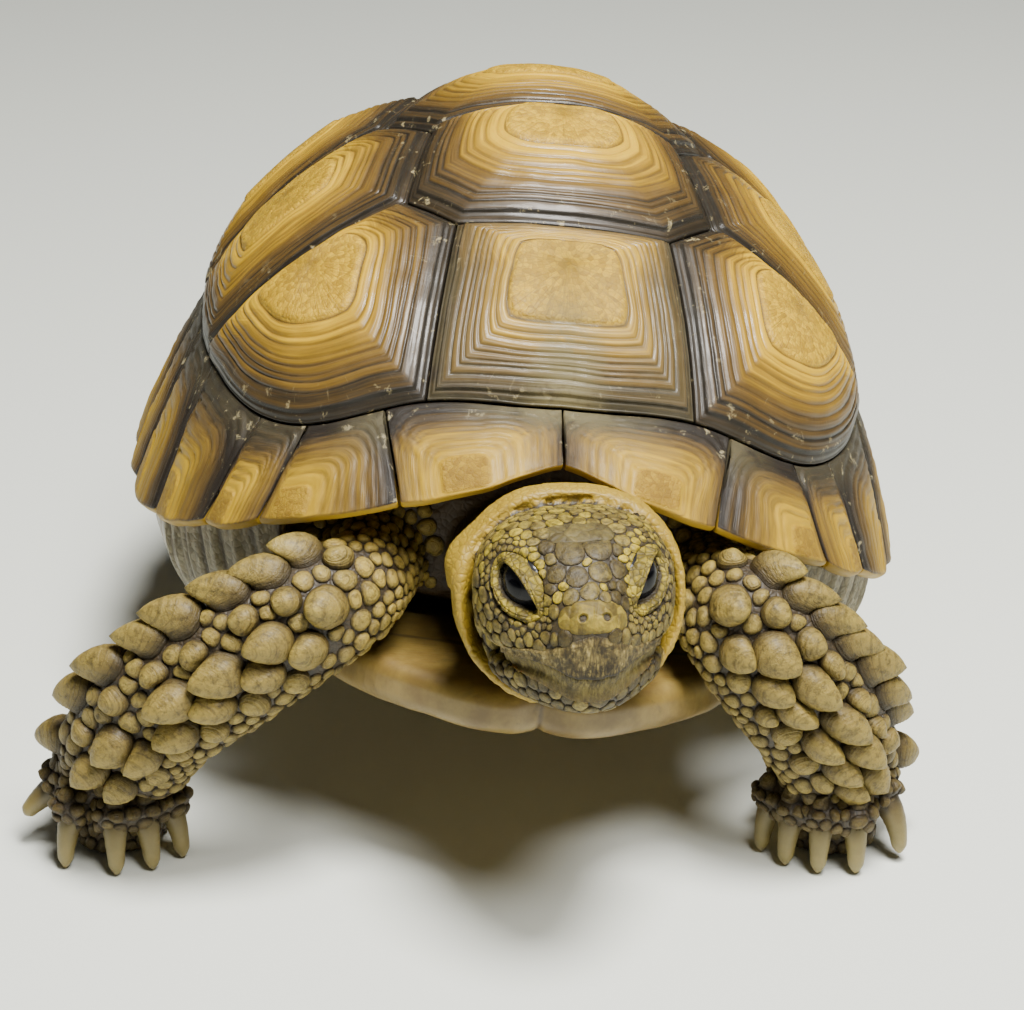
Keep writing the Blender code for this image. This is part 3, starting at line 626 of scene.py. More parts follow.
def rounded(loop, reach):
    # the loop with its corners softened over that many points on each side
    total = loop.copy()
    for k in range(1, reach + 1):
        total = total + np.roll(loop, k, axis=0) + np.roll(loop, -k, axis=0)
    return total / (2 * reach + 1)


def growthRings(share, inner, rng, count):
    # random ring edges from the areola to the seam: the ridge over each ring, its tone and its width
    widths = rng.uniform(0.55, 1.45, count) * np.linspace(1.15, 0.85, count)
    edges = inner + (1 - inner) * np.concatenate([[0], np.cumsum(widths)]) / widths.sum()
    tones = rng.uniform(-1, 1, count)
    i = np.clip(np.searchsorted(edges, share, side="right") - 1, 0, count - 1)
    width = edges[i + 1] - edges[i]
    local = np.clip((share - edges[i]) / width, 0, 1)
    ridge = 1 - np.abs(2 * local - 1) ** 3
    return ridge, tones[i] * ridge, width


def hornRings(share, areola, rng, count):
    # broad growth rings, and three fine ones for each
    broad = growthRings(share, areola, rng, count)
    return broad, growthRings(share, areola, rng, count * 3)


def hornMarks(inAll, rings, grown, seed, under):
    # what the horn's material reads of the rings
    (ridge, tone, _), (fine, fineTone, _) = rings
    return {
        "ringTone": (inAll((tone + 0.4 * fineTone) * grown, 0.0), 0.0, 0.0),
        "ridge": (inAll(1 - (1 - ridge * (0.75 + 0.25 * fine)) * grown, 1.0), 1.0, 1.0),
        "seed": (inAll(seed, under), under, seed),
    }


def discPatch(x, y, radius, count):
    # rings laid out flat round that middle
    c, s = circle(count)
    return np.stack([x + radius * c, y + radius * s], axis=-1)


def largePlate(name, spec, side, seed, material):
    corners, growth, rise, areola, wash = spec
    rng = np.random.default_rng(seed)
    outline = drawnIn(plateOutline(corners, largePlates["step"]), shell["gap"])
    soft = rounded(outline, max(3, len(outline) // 14))
    centre = np.array([growth[0], growth[1], domeHeight(*growth)])
    outer = np.linspace(1, areola, largePlates["ringRows"], endpoint=False)
    middle = areola * (1 - np.arange(largePlates["areolaRows"]) / largePlates["areolaRows"])
    share = np.concatenate([outer, middle])[:, None]
    softness = ease(1 - share, 0.0, 0.75)[..., None] * 0.85
    loop = outline * (1 - softness) + soft * softness
    base = onDome(centre + (loop - centre) * share[..., None])
    up = domeNormal(base)
    arm = outline - centre
    reach = np.linalg.norm(arm, axis=1)
    centreUp = up[-1].mean(axis=0)
    east = unit(np.cross([0, 1.0, 0], centreUp))
    turn = np.arctan2(arm @ np.cross(centreUp, east), arm @ east)
    flat = 0 * share
    wheel = np.stack([np.cos(turn) * 2.2 + flat, np.sin(turn) * 2.2 + flat, share * 5 + 0 * turn], axis=-1)
    wobbled = share + largePlates["wobble"] * noise(wheel, 0.8, seed) * ease(1 - share, 0, 0.1)
    rings = hornRings(wobbled, areola, rng, largePlates["ringCount"])
    (ridge, _, width), (fine, _, fineWidth) = rings
    grown = ease(wobbled, areola - 0.01, areola + 0.01)
    lip = 0.6 * np.minimum(1, (1 - share) / 0.04) ** 0.5
    slope = (1 - np.maximum(share, areola) ** 2.2) / (1 - areola ** 2.2)
    height = lip + (rise - 0.6 - 0.15) * slope
    # the newest horn by the seam is smooth
    older = grown * (1 - 0.8 * ease(wobbled, 0.86, 0.89))
    height = height + np.minimum(largePlates["ringRelief"], 0.34 * width * reach) * (ridge - 1) * older
    height = height + np.minimum(0.05, 0.14 * fineWidth * reach) * (fine - 1) * older
    height = height + largePlates["areolaStep"] * (1 - ease(wobbled, areola - 0.035, areola - 0.002))
    height = height - 0.12 * np.exp(-((wobbled - areola) / 0.008) ** 2)
    height = height - 0.35 * ease(wobbled, 0.925, 0.94) * np.minimum(1, reach / 18) * ease(1 - share, 0, 0.02)
    height = height + 0.12 * noise(base, 2.6, seed) + (1 - grown) * 0.05 * noise(base, 0.7, seed)
    height = np.minimum(height, rise + 0.15)
    inside = onDome(outline, shell["plateInside"] + 0.005)
    insideMiddle = onDome(centre[None], shell["plateInside"] + 0.005)[0]
    halfway = insideMiddle + (inside - insideMiddle) * 0.5
    grid = np.concatenate([halfway[None], inside[None], base + up * height[..., None]])
    mirror = np.array([side, 1, 1])
    frontness = np.exp(-(base[..., 0] / 5.5) ** 2) * ease(-base[..., 1], 33, 48)

    def inAll(values, under):
        values = np.broadcast_to(values, (len(share), len(outline)))
        return np.concatenate([np.full((2, len(outline)), under), values])

    outside = ease(wobbled, areola - 0.012, areola + 0.004)
    # painted light: the horn stays golden longer towards the rear of each plate, the side that faces up
    litRearSide = np.clip(np.sin(turn), 0, 1)
    age = np.clip((wobbled - areola) / (1 - areola), 0, 1)
    level = np.where(wobbled > areola, areola + (1 - areola) * age ** (0.95 + 2.0 * litRearSide), wobbled)
    level = level + 0.3 * np.exp(-((wobbled - areola) / 0.012) ** 2)
    level = level + 0.12 * np.exp(-((wobbled - 0.93) / 0.008) ** 2)
    marks = {
        **hornMarks(inAll, rings, older, seed * 7.3, 0.0),
        "growth": (inAll(level, 1.0), 1.0, 0.0),
        "areola": (inAll(1 - outside, 0.0), 0.0, 1.0),
        "wash": (inAll(np.maximum(wash * frontness, 0.25 * wash), 0.0), 0.0, 0.0),
        "east": (inAll(np.cos(turn), 0.0), 0.0, 0.0),
        "north": (inAll(np.sin(turn), 0.0), 0.0, 0.0),
    }
    radius = np.concatenate([[0.495, 0.48], 0.465 * share[:, 0]])[:, None]
    patch = discPatch(0.5, 0.5, radius, len(outline))
    top = centre + domeNormal(centre[None])[0] * height[-1].mean()
    shape = ringShape(
        shellToWorld(grid * mirror), shellToWorld(insideMiddle * mirror), shellToWorld(top * mirror),
        marks, (patch, (0.998, 0.5), (0.5, 0.5)),
    )
    makePiece(name + "_horn", shape, material, "scute", name)


scute = makeHorn("plateHorn", largePlates["scute"])
for number, spec in enumerate(largePlates["vertebral"]):
    largePlate(f"vertebral_{number + 1}", spec, 1, 10 + number, scute)
for side, word in bothSides:
    for number, spec in enumerate(largePlates["costal"]):
        largePlate(f"costal_{word}_{number + 1}", spec, side, 20 + number + 10 * side, scute)
print("large plates made")


# marginal plates round the rim

marginals = {
    "seams": (
        (0, 0), (23.4, 18), (33.4, 35.2), (41.7, 44.4), (60.5, 59), (76, 76),
        (92, 92), (108, 108), (123, 123), (138, 138), (152, 152), (165, 165),
    ),
    "groups": (
        ("1", 0, 1), ("2", 1, 2), ("3", 2, 3), ("4", 3, 4), ("bridge", 4, 7), ("rear_1", 7, 9),
        ("rear_2", 9, 11),
    ),
    # growth centre along and down each plate, how dark its front edge is, dried dirt
    "growth": (
        (0.62, 0.90, 0.25, 0.9), (0.86, 0.95, 0.75, 0.5), (0.80, 0.96, 0.12, 0.2), (0.84, 0.95, 1.0, 0.2),
        (0.82, 0.94, 0.9, 0.2), (0.8, 0.94, 0.8, 0.2), (0.8, 0.94, 0.8, 0.2), (0.78, 0.94, 0.8, 0.2),
        (0.72, 0.94, 0.8, 0.2), (0.68, 0.94, 0.8, 0.2), (0.62, 0.94, 0.8, 0.2),
    ),
    "columns": 56, "outerRows": 56, "ringCount": 8, "relief": 0.26, "sag": 0.75, "waver": 0.22,
    "notch": 1.7,  # how much lower the front edge is beside the notch at its middle
    "rear": ((165, 165), (195, 195), (0.5, 0.94, 0.5, 0.2)),  # the plate over the tail: seams and growth
    "areola": 0.3,
    "horn": {
        "roughness": 0.5, "coat": 0.05, "coatRoughness": 0.15, "subsurface": 0.12, "relief": 0.6,
        "ringContrast": 0.09, "lineContrast": 0.36, "broadContrast": 0.36, "grooveDark": 0.14,
        "stops": (
            (0.0, (0.42, 0.26, 0.014)), (0.18, (0.42, 0.26, 0.016)), (0.34, (0.28, 0.172, 0.018)),
            (0.52, (0.165, 0.100, 0.019)), (0.68, (0.098, 0.060, 0.018)), (0.83, (0.050, 0.033, 0.015)),
            (0.95, (0.028, 0.020, 0.012)), (1.0, (0.018, 0.014, 0.010)),
        ),
        "areolaPale": (0.42, 0.26, 0.016), "areolaDark": (0.27, 0.155, 0.012),
        "areolaCrease": (0.16, 0.09, 0.012),
        "scratches": 0.5, "flakes": 0.7, "flakeColour": (0.40, 0.34, 0.19),
        "washColour": (0.16, 0.135, 0.065),
    },
}


def betweenSeams(first, last, share):
    return first[0] + (last[0] - first[0]) * share, first[1] + (last[1] - first[1]) * share


def marginalSection(upper, lower, bulge):
    rim = rimPoint(lower)
    top = edgePoint(upper)
    top = top + (rim - top) * (shell["gap"] / np.linalg.norm(rim - top))
    out = unit((rim - shell["centre"]) * [1, 1, 0])
    # the edge hangs lower in the middle of each plate, and wavers
    sag = marginals["sag"] * bulge + marginals["waver"] * float(noise(rim[None] * [1, 1, 0], 2.6, 5)[0])
    sag += marginals["notch"] * float(ease(abs(lower), 0.5, 10.0) * (1 - ease(abs(lower), 15.0, 32.0)))
    lip = rim + out * bulge * shell["rimFlare"] + [0, 0, 1.2 - sag]
    angle = math.radians(lower)
    radius = np.hypot(*(rim - shell["centre"])[:2])
    inner = max(radius - shell["rimDepth"], domeRadius(angle, rim[2], shell["plateInside"]) + 0.2)
    middle = np.radians(0.5 * (upper + lower))
    halfway = 0.5 * (rim[2] + top[2])
    swell = unit(0.5 * (top + lip) - shell["centre"])
    return np.array([
        top,
        top * 0.65 + lip * 0.35 + swell * (0.3 + 0.5 * bulge),
        top * 0.3 + lip * 0.7 + swell * (0.1 + 0.5 * bulge),
        lip,
        rim - out * 1.2 - [0, 0, sag],
        roundPoint(angle, inner, rim[2]),
        roundPoint(middle, domeRadius(middle, halfway, shell["plateInside"]) + 0.1, halfway),
        onDome(top, shell["plateInside"]),
    ])


def throughPoints(points, t):
    # a smooth curve through a few points, by share of its length
    steps = np.concatenate([[0], np.cumsum(np.linalg.norm(np.diff(points, axis=0), axis=1))])
    return np.stack([curve(t * steps[-1], steps, points[:, i]) for i in range(3)], axis=-1)


def marginalPlate(first, last, growth, side, seed, cell):
    along, down, dark, wash = growth
    rng = np.random.default_rng(seed)
    columns, rows = marginals["columns"], marginals["outerRows"]
    share = np.linspace(0, 1, columns + 1)
    inset = np.degrees(shell["gap"] / 46)
    slices = []
    v = np.linspace(0, 1, rows) ** 0.9
    t = np.linspace(0, 1, 9)[1:, None]
    for s in share:
        upper, lower = betweenSeams(first, last, s)
        nudge = inset * ((s == 0) * 1.0 - (s == 1) * 1.0)
        bulge = math.sin(math.pi * s) ** 0.7 if 0 < s < 1 else 0.0
        p = marginalSection(upper + nudge, lower + nudge, bulge)
        outside = throughPoints(p[:4], v)
        control = 0.5 * (p[3] + p[4]) + 0.6 * (p[3] - p[2]) / np.linalg.norm(p[3] - p[2])
        rim = (1 - t) ** 2 * p[3] + 2 * t * (1 - t) * control + t * t * p[4]
        slices.append(np.concatenate([outside, rim, p[4] + (p[5] - p[4]) * t, p[6:8]]))
    grid = np.array(slices)
    outer = grid[:, :rows]
    u = share[:, None]
    w = v[None, :]
    parts = np.stack([(along - u) / along + 0 * w, (u - along) / (1 - along) + 0 * w,
                      (down - w) / down + 0 * u, (w - down) / (1.001 - down) * 0.4 + 0 * u], axis=-1)
    box = (np.maximum(parts, 0) ** 6).sum(axis=-1) ** (1 / 6)
    box = np.minimum(box, 1) + 0.02 * noise(outer, 4.0, seed)
    areola = marginals["areola"]
    rings = hornRings(box, areola, rng, marginals["ringCount"])
    ridge, fine = rings[0][0], rings[1][0]
    grown = ease(box, areola - 0.01, areola + 0.01)
    up = unit(np.cross(np.gradient(outer, axis=0), np.gradient(outer, axis=1)))
    up = up * np.sign((up * (outer - shell["centre"])).sum(axis=-1, keepdims=True))
    fade = np.minimum(1, np.minimum(v, 1 - v) / 0.05)[None, :] * np.minimum(1, np.minimum(u, 1 - u) / 0.05)
    height = marginals["relief"] * (ridge - 1) * grown + 0.07 * (fine - 1) * grown
    height = height + 0.10 * noise(outer, 2.2, seed) + 0.15 * (1 - grown)
    edge = np.minimum(np.minimum(u * 9, (1 - u) * 9), np.minimum(w * 14, 6))
    height = height - 0.35 * (1 - ease(edge, 0, 0.5))
    outer += up * (height * np.maximum(fade, 0.3))[..., None]
    total = grid.shape[1]

    def inAll(values, under):
        values = np.broadcast_to(values, (columns + 1, rows))
        rest = np.full((columns + 1, total - rows), under)
        return np.concatenate([values, rest], axis=1)

    # new growth darkens the front seam and the upper seam
    fresh = np.maximum(ease((along - u) / along, 0.35, 1.0) * dark, 0.6 * ease((down - w) / down, 0.45, 1.0))
    level = box * 0.5 + 0.5 * box * fresh + 0.34 * np.exp(-edge * 2.4)
    level = level + 0.30 * ease((down - w) / down, 0.40, 0.93) + 0.06 * noise(outer, 7.0, seed + 3)
    front = ease(1 - w, 0.35, 1.0) * ease(0.75 - u, 0.0, 0.75) if wash > 0.4 else ease(1 - w, 0.6, 1.0)
    marks = {
        **hornMarks(inAll, rings, grown, seed * 3.7, seed * 3.7),
        "growth": (inAll(level, 0.12), 0.9, 0.9),
        "areola": (inAll(1 - ease(box, areola - 0.03, areola + 0.01), 0.0), 0.0, 0.0),
        "wash": (inAll(wash * front, 0.0), 0.0, 0.0),
        "east": (inAll((u - along) * 2.5, 0.0), 0.0, 0.0),
        "north": (inAll((w - down) * 2.5, 0.0), 0.0, 0.0),
    }
    across = np.linspace(0.01, 0.99, total)[None, :] + 0 * u
    patch = np.stack([(cell[0] + 0.01 + 0.98 * u + 0 * across) / cell[1], across], axis=-1)
    edges = ((cell[0] + 0.005) / cell[1], 0.5), ((cell[0] + 0.995) / cell[1], 0.5)
    return ringShape(shellToWorld(grid * [side, 1, 1]), marks=marks, patch=(patch, *edges))


def makeMarginals():
    horn = makeHorn("rimHorn", marginals["horn"])
    seams, growth = marginals["seams"], marginals["growth"]
    for side, word in bothSides:
        for label, first, last in marginals["groups"]:
            plates = []
            for i in range(first, last):
                seed, cell = 60 + i + 20 * side, (i - first, last - first)
                plates.append(marginalPlate(seams[i], seams[i + 1], growth[i], side, seed, cell))
            name = f"marginal_{word}_{label}"
            makePiece(name + "_horn", joinShapes(plates), horn, "marginal_scute", name)
    rearPlate = marginalPlate(*marginals["rear"], 1, 99, (0, 1))
    makePiece("supracaudal_horn", rearPlate, horn, "marginal_scute", "supracaudal")


makeMarginals()
print("marginal plates made")


# plastron

plastron = {
    "bottom": -1.5, "top": 4.2, "edgeRound": 2.3, "bridgeFront": -27.4, "bridgeRear": 26.6, "endRound": 5.0,
    "columns": 200,
    "frontLobe": (
        (0, -63.8), (4, -65.8), (9, -64.8), (15, -61.2), (21, -56.8),
        (26, -51.5), (29, -46), (31, -38), (31.5, -31.5), (31, -27.8),
    ),
    "rearLobe": (
        (0, 50.0), (5, 52.5), (11, 57), (16, 54.5), (20, 49.5),
        (24, 42), (25.5, 35), (26, 30.5), (27, 27.0),
    ),
    "frontDroop": 0.5,
    # seams across the belly, at the midline, and how far they bend back towards the sides
    "seams": ((-50.0, 5.0), (-30.5, 3.0), (-17.0, -4.0), (22.5, 6.0), (40.0, -4.0)),
    "horn": {
        "roughness": 0.48, "pale": (0.24, 0.165, 0.040), "warm": (0.15, 0.095, 0.022),
        "smudge": (0.035, 0.024, 0.011),
        "cream": (0.24, 0.205, 0.12), "seam": (0.07, 0.045, 0.02),
    },
}


def beltMarks(points, cream):
    # places on the belly, for its seams and growth lines
    return {
        "beltAcross": points[..., 0], "beltAlong": points[..., 1],
        "cream": np.broadcast_to(cream, points.shape[:-1]),
    }


def seamDepth(points):
    # a groove along the midline and along each seam across
    x, y = points[..., 0], points[..., 1]
    away = np.abs(x + 0.5 * np.sin(y * 0.35))
    for place, bend in plastron["seams"]:
        away = np.minimum(away, np.abs(y - place - bend * (np.abs(x) / 30) ** 1.5))
    return 0.3 * np.exp(-(away / 0.35) ** 2)


def roughened(rings, seed):
    rings = np.array(rings)
    return rings + [0, 0, 1] * (0.10 * noise(rings, 3.0, seed))[..., None]


def lobeShape(halfOutline, droop, join):
    half = np.array([(x, y, 0) for x, y in halfOutline], float)
    fineHalf = throughPoints(half, np.linspace(0, 1, plastron["columns"] // 3))
    other = fineHalf[::-1] * [-1, 1, 1]
    straight = np.linspace(fineHalf[-1], other[0], plastron["columns"] // 4)[1:-1]
    outline = np.concatenate([fineHalf, straight, other[:-1]])
    joint = np.abs(outline[:, 1] - join) < 0.05
    middle = np.array([0, outline[:, 1].mean(), 0])
    reach = np.linalg.norm(outline - middle, axis=1)
    # rings lie closer together towards the edge
    inner, outer = np.linspace(0, 0.9, 26, endpoint=False), 1 - 0.1 * np.linspace(1, 0, 14) ** 2
    inset = 1 - np.concatenate([inner, outer])
    edgeRound = plastron["edgeRound"]
    radius = np.where(joint, 0.35, edgeRound)
    rings = []
    for level, sign in ((plastron["bottom"], 1), (plastron["top"], -1)):
        for s in inset if sign == 1 else inset[::-1]:
            d = np.minimum(s * reach, radius)
            lift = radius - np.sqrt(np.maximum(radius ** 2 - (radius - d) ** 2, 0))
            ring = middle + (outline - middle) * (1 - s)
            ring[:, 2] = level + sign * np.minimum(lift, edgeRound)
            if sign == 1:
                away = np.clip((np.abs(ring[:, 1]) - abs(join)) / 20, 0, 1)
                ring[:, 2] += seamDepth(ring) - droop * away
            rings.append(ring)
    rings = roughened(rings, 4)
    marks = {k: (v, v.ravel()[0], v.ravel()[-1]) for k, v in beltMarks(rings, 0.0).items()}
    size = np.concatenate([1 - inset, 1 - inset[::-1]])[:, None] * 0.235
    shift = np.where(np.arange(len(rings)) < len(inset), 0.25, 0.75)[:, None]
    patch = (discPatch(shift, 0.25, size, len(outline)), (0.25, 0.25), (0.75, 0.25))
    return ringShape(shellToWorld(rings), marks=marks, patch=patch)


def rimReach(y):
    along = shell["rimFront"] if y < shell["centre"][1] else shell["rimRear"]
    share = (abs(y - shell["centre"][1]) / along) ** shell["planPower"]
    x = shell["rimHalfWidth"] * (1 - share) ** (1 / shell["planPower"])
    angle = math.degrees(math.atan2(x, shell["centre"][1] - y))
    return x, float(curve(angle, shell["rimAngles"], shell["rimHeights"]))


def softLoop(loop, times):
    # corners cut again and again until the loop is round
    for _ in range(times):
        ahead = np.roll(loop, -1, axis=0)
        loop = np.stack([0.75 * loop + 0.25 * ahead, 0.25 * loop + 0.75 * ahead], axis=1).reshape(-1, 3)
    return loop


def middleShape():
    rings = []
    bottom, top = plastron["bottom"], plastron["top"]
    first, last, endRound = plastron["bridgeFront"], plastron["bridgeRear"], plastron["endRound"]
    for y in np.linspace(first, last, 90):
        reach, height = rimReach(y)
        wallTop = min(height, 11.0) - 0.4
        # the bridge is rounded off at both ends
        near = min(y - first, last - y) / endRound
        reach -= endRound * (1 - math.sqrt(max(1 - (1 - min(near, 1.0)) ** 2, 0)))
        half = [
            (0, bottom), (12, bottom), (24, bottom), (34, bottom), (reach - 5.8, bottom + 1.4),
            (reach - 2.8, 4.2), (reach - 2.2, wallTop), (reach - 6.8, wallTop), (reach - 11.0, top), (0, top),
        ]
        loop = np.array([(x, y, z) for x, z in half + [(-x, z) for x, z in reversed(half) if x > 0]], float)
        loop = softLoop(loop, 3)
        loop[:, 2] += np.where(loop[:, 2] < bottom + 0.5, seamDepth(loop), 0)
        rings.append(loop)
    rings = roughened(rings, 5)
    cream = ease(np.abs(rings[..., 0]), 36, 46)
    marks = {k: (v, v[0].mean(), v[-1].mean()) for k, v in beltMarks(rings, cream).items()}
    across = np.linspace(0.01, 0.99, rings.shape[1])
    down = np.linspace(0.02, 0.98, len(rings))[:, None]
    patch = np.stack([across + 0 * down, down + 0 * across], axis=-1)
    return ringShape(shellToWorld(rings), marks=marks, patch=(patch, (0.5, 0.01), (0.5, 0.99)))


def makeBellyHorn():
    look = plastron["horn"]
    make = Recipe("bellyHorn", look["roughness"], 0.2, 0.25, subsurface=0.12)
    across, along, cream = make.marks("beltAcross beltAlong cream")
    grain = make.put(grainGroup, Size=0.006)
    streaks = make.put(streakGroup, Growth=along * 0.02, East=across * 0.03, North=0.0, Seed=3.0)
    colour = make.mix(make.ease(grain["Value"], 0.35, 0.65), look["pale"], look["warm"])
    colour = make.mix(make.ease(streaks["Lines"], 0.5, 0.75) * 0.35, colour, look["warm"])
    # pale skin hangs in upright folds in front of the bridge
    upright = make.flow("Mapping", 0, {"Vector": make.here(), "Scale": (1.0, 1.0, 0.12)})
    folds = make.noise({"Vector": upright, "Scale": 260.0, "Detail": 3.0, "Distortion": 0.6})
    fold = make.ease(folds, 0.45, 0.62) * cream
    colour = make.mix(cream, colour, look["cream"])
    # painted shade: the grooves of the folds, which the relief presses in, are darker
    colour = make.mix(fold * 0.75, colour, look["warm"])
    seams = abs(across)
    for place, bend in plastron["seams"]:
        bow = (abs(across) * (1 / 30)) ** 1.5
        seams = seams.math("MINIMUM", abs(along - place - bow * bend))
    wavy = seams + (grain["Value"] - 0.5) * 2.0
    falling = {"Value": wavy, "From Min": 0.1, "From Max": 0.5, "To Min": 0.7, "To Max": 0.0}
    colour = make.mix(make.flow("MapRange", "Result", falling), colour, look["seam"])
    colour = make.mix(make.grime(0.007, 0.36, 0.1) * 0.55, colour, look["smudge"])
    colour = make.mix(make.grime(0.0016, 0.33, 0.06) * 0.35, colour, look["smudge"])
    height = streaks["Lines"] * 0.6 + grain["Height"] * 0.6 - fold * 2.5
    return make.finish(colour, make.span(grain["Value"], 0.3, 0.6), height, 0.5, 0.0003)


bellyHorn = makeBellyHorn()
frontShape = lobeShape(plastron["frontLobe"], plastron["frontDroop"], plastron["frontLobe"][-1][1])
makePiece("plastron_front_horn", frontShape, bellyHorn, "plastron_scute", "plastron_front")
makePiece("plastron_middle_horn", middleShape(), bellyHorn, "plastron_scute", "plastron_middle")
rearShape = lobeShape(plastron["rearLobe"], 0.0, plastron["rearLobe"][-1][1])
makePiece("plastron_rear_horn", rearShape, bellyHorn, "plastron_scute", "plastron_rear")
print("plastron made")


# the flesh as one skin

neckForm = {
    "root": (0.0, -44.3, 15.2), "rootSize": (12.4, 9.4),
    # centre, half width, half height and how far the ring's foot leans forward
    "rings": (
        ((0.5, -52.0, 40.6), 12.6, 9.6, 0.0), ((0.9, -58.5, 42.4), 12.8, 10.2, 1.0),
        ((1.3, -63.5, 45.4), 13.6, 11.6, 2.5), ((1.5, -68.0, 46.7), 14.6, 12.5, 4.5),
        ((1.6, -71.0, 46.7), 14.4, 12.4, 5.0), ((1.6, -71.5, 46.8), 13.8, 11.9, 5.0),
        ((1.6, -69.9, 46.6), 12.9, 10.7, 4.5), ((1.4, -66.0, 46.7), 11.9, 9.6, 1.5),
    ),
}

headForm = {
    "place": np.array([1.8, -75.4, 48.0]), "yaw": math.radians(4), "inset": 0.3,
    # y, half width, top, height of the widest place, bottom, squareness above
    "rings": (
        (10.3, 9.4, 8.9, 0.5, -7.8, 2.4), (7.5, 11.4, 10.0, 0.8, -9.7, 2.5),
        (4.5, 12.2, 10.8, 1.0, -10.3, 2.6),
        (1.3, 12.5, 10.9, 1.0, -10.4, 2.7), (1.1, 12.5, 10.9, 1.0, -5.6, 2.7),
        (-2.0, 12.0, 10.5, 0.8, -5.0, 2.6),
        (-4.5, 11.0, 9.7, 0.2, -4.1, 2.4), (-7.0, 9.4, 8.5, -0.6, -3.3, 2.1),
        (-9.3, 7.5, 7.3, -0.9, -2.7, 1.95),
        (-11.4, 5.9, 6.2, -0.8, -2.5, 2.0), (-13.0, 4.3, 5.0, -0.6, -2.9, 2.1),
        (-13.9, 2.8, 3.6, -0.4, -3.4, 2.2),
    ),
    "tip": (0, -14.3, -0.6), "cheekSquareness": 2.6, "lipSquareness": 4.0, "mouthCorner": 1.2,
    # y, half width, top, bottom
    "jaw": (
        (0.7, 10.8, -6.0, -10.4), (-2.0, 10.6, -5.4, -10.7), (-4.8, 9.9, -4.4, -10.8),
        (-7.4, 8.5, -3.65, -10.6),
        (-9.6, 6.8, -3.1, -10.1), (-11.6, 4.7, -3.05, -9.2), (-12.8, 2.5, -3.9, -7.9),
    ),
    "jawTip": (0, -13.4, -5.6),
    # the eyeball, the way it looks, and the long way of its opening from the snout up and back
    "eye": np.array([5.6, -3.0, 4.65]), "eyeRadius": 4.0,
    "gaze": np.array([0.72, -0.68, 0.12]), "slant": np.array([0.39, 0.80, 0.45]),
    "opening": (3.7, 1.85), "lid": (5.15, 3.3), "collarEdge": 7.3,
}

tailForm = {
    "root": (0.0, 48.3, 10.4), "rootSize": (4.2, 3.9), "scaleSize": 0.95, "bareTo": 49.5,
    "rings": (
        ((0.4, 52.0, 26.0), 3.9), ((1.4, 56.5, 23.4), 3.4),
        ((2.8, 60.0, 19.6), 2.7), ((4.2, 61.6, 15.4), 1.8),
    ),
    "tip": (5.2, 61.8, 12.0),
}

legForms = {
    "front_right": {
        "side": -1, "root": (-22.5, -44.3, 13.4), "way": (0, -1, 0), "wideSide": (-0.6, 0, 0.8),
        "rootSize": (7.8, 7.6), "sole": (-58.0, -45.0), "reach": 11.4,
        "claws": ((-50, 0), (-25, 0), (0, 0), (38, 0), (80, 4.5)),
        "path": (
            ((-23.6, -51.5, 40.6), 7.4, 7.0), ((-29.0, -57.0, 39.6), 8.4, 6.6),
            ((-36.0, -58.6, 35.8), 9.2, 6.4),
            ((-44.1, -58.2, 30.5), 9.7, 6.2), ((-51.5, -56.0, 24.4), 9.9, 6.2),
            ((-56.4, -51.8, 16.6), 9.6, 6.6),
        ),
    },
    "front_left": {
        "side": 1, "root": (22.5, -44.3, 13.4), "way": (0, -1, 0), "wideSide": (0.6, 0, 0.8),
        "rootSize": (7.8, 7.6), "sole": (39.5, -52.0), "reach": 10.9,
        "claws": ((-68, 0), (-43, 0), (-18, 0), (9, 0), (47, 1.0)),
        "path": (
            ((22.6, -51.5, 37.0), 7.6, 7.0), ((24.2, -58.5, 37.2), 8.6, 6.6), ((28.2, -60.6, 32.8), 9.4, 6.4),
            ((32.8, -60.4, 27.0), 9.8, 6.2), ((36.8, -58.8, 20.6), 9.6, 6.2), ((39.4, -56.4, 14.6), 9.0, 6.6),
        ),
    },
    "rear_left": {
        "side": 1, "root": (30.0, 36.0, 12.6), "way": (0.707, 0.707, 0), "wideSide": (1, 0, 0),
        "rootSize": (7.4, 6.8), "sole": (41.5, 46.0), "reach": 10.6,
        "claws": ((-30, 0), (-5, 0), (20, 0), (45, 0)),
        "path": (
            ((32.8, 39.2, 22.8), 7.2, 6.6), ((36.6, 42.8, 17.8), 7.6, 7.2), ((39.6, 44.8, 13.4), 8.0, 7.8),
        ),
    },
    "rear_right": {
        "side": -1, "root": (-30.0, 36.0, 12.6), "way": (-0.707, 0.707, 0), "wideSide": (-1, 0, 0),
        "rootSize": (7.4, 6.8), "sole": (-42.0, 46.0), "reach": 10.6,
        "claws": ((-30, 0), (-5, 0), (20, 0), (45, 0)),
        "path": (
            ((-33.6, 40.0, 30.2), 7.8, 6.8), ((-38.0, 43.6, 23.6), 8.2, 7.4), ((-41.0, 45.4, 16.0), 8.3, 7.8),
        ),
    },
}
footRings = ((12.6, 8.9), (11.0, 9.7), (6.4, 7.0), (0.0, 6.5))  # height and radius
clawForm = {
    "height": 8.7, "reach": 8.35, "slope": math.radians(30), "curve": 2.6, "halfWidth": 2.05,
    "halfHeight": 1.95,
    "stops": (
        (0.2, (0.05, 0.036, 0.015)), (0.4, (0.115, 0.085, 0.027)),
        (0.7, (0.185, 0.142, 0.040)), (1.0, (0.27, 0.21, 0.066)),
    ),
}
trunkForm = {
    # how far from the middle the cuts are, and the levels: height and share of the dome
    "front": 44.0, "rear": 48.0, "thigh": 42.0, "thighAngle": 135,
    "levels": (
        (4.6, 0.76), (9.0, 0.88), (14.0, 1.0), (24.0, 1.0), (34.0, 1.0), (44.0, 1.0), (53.0, 1.0),
        (60.0, 1.0),
    ),
}
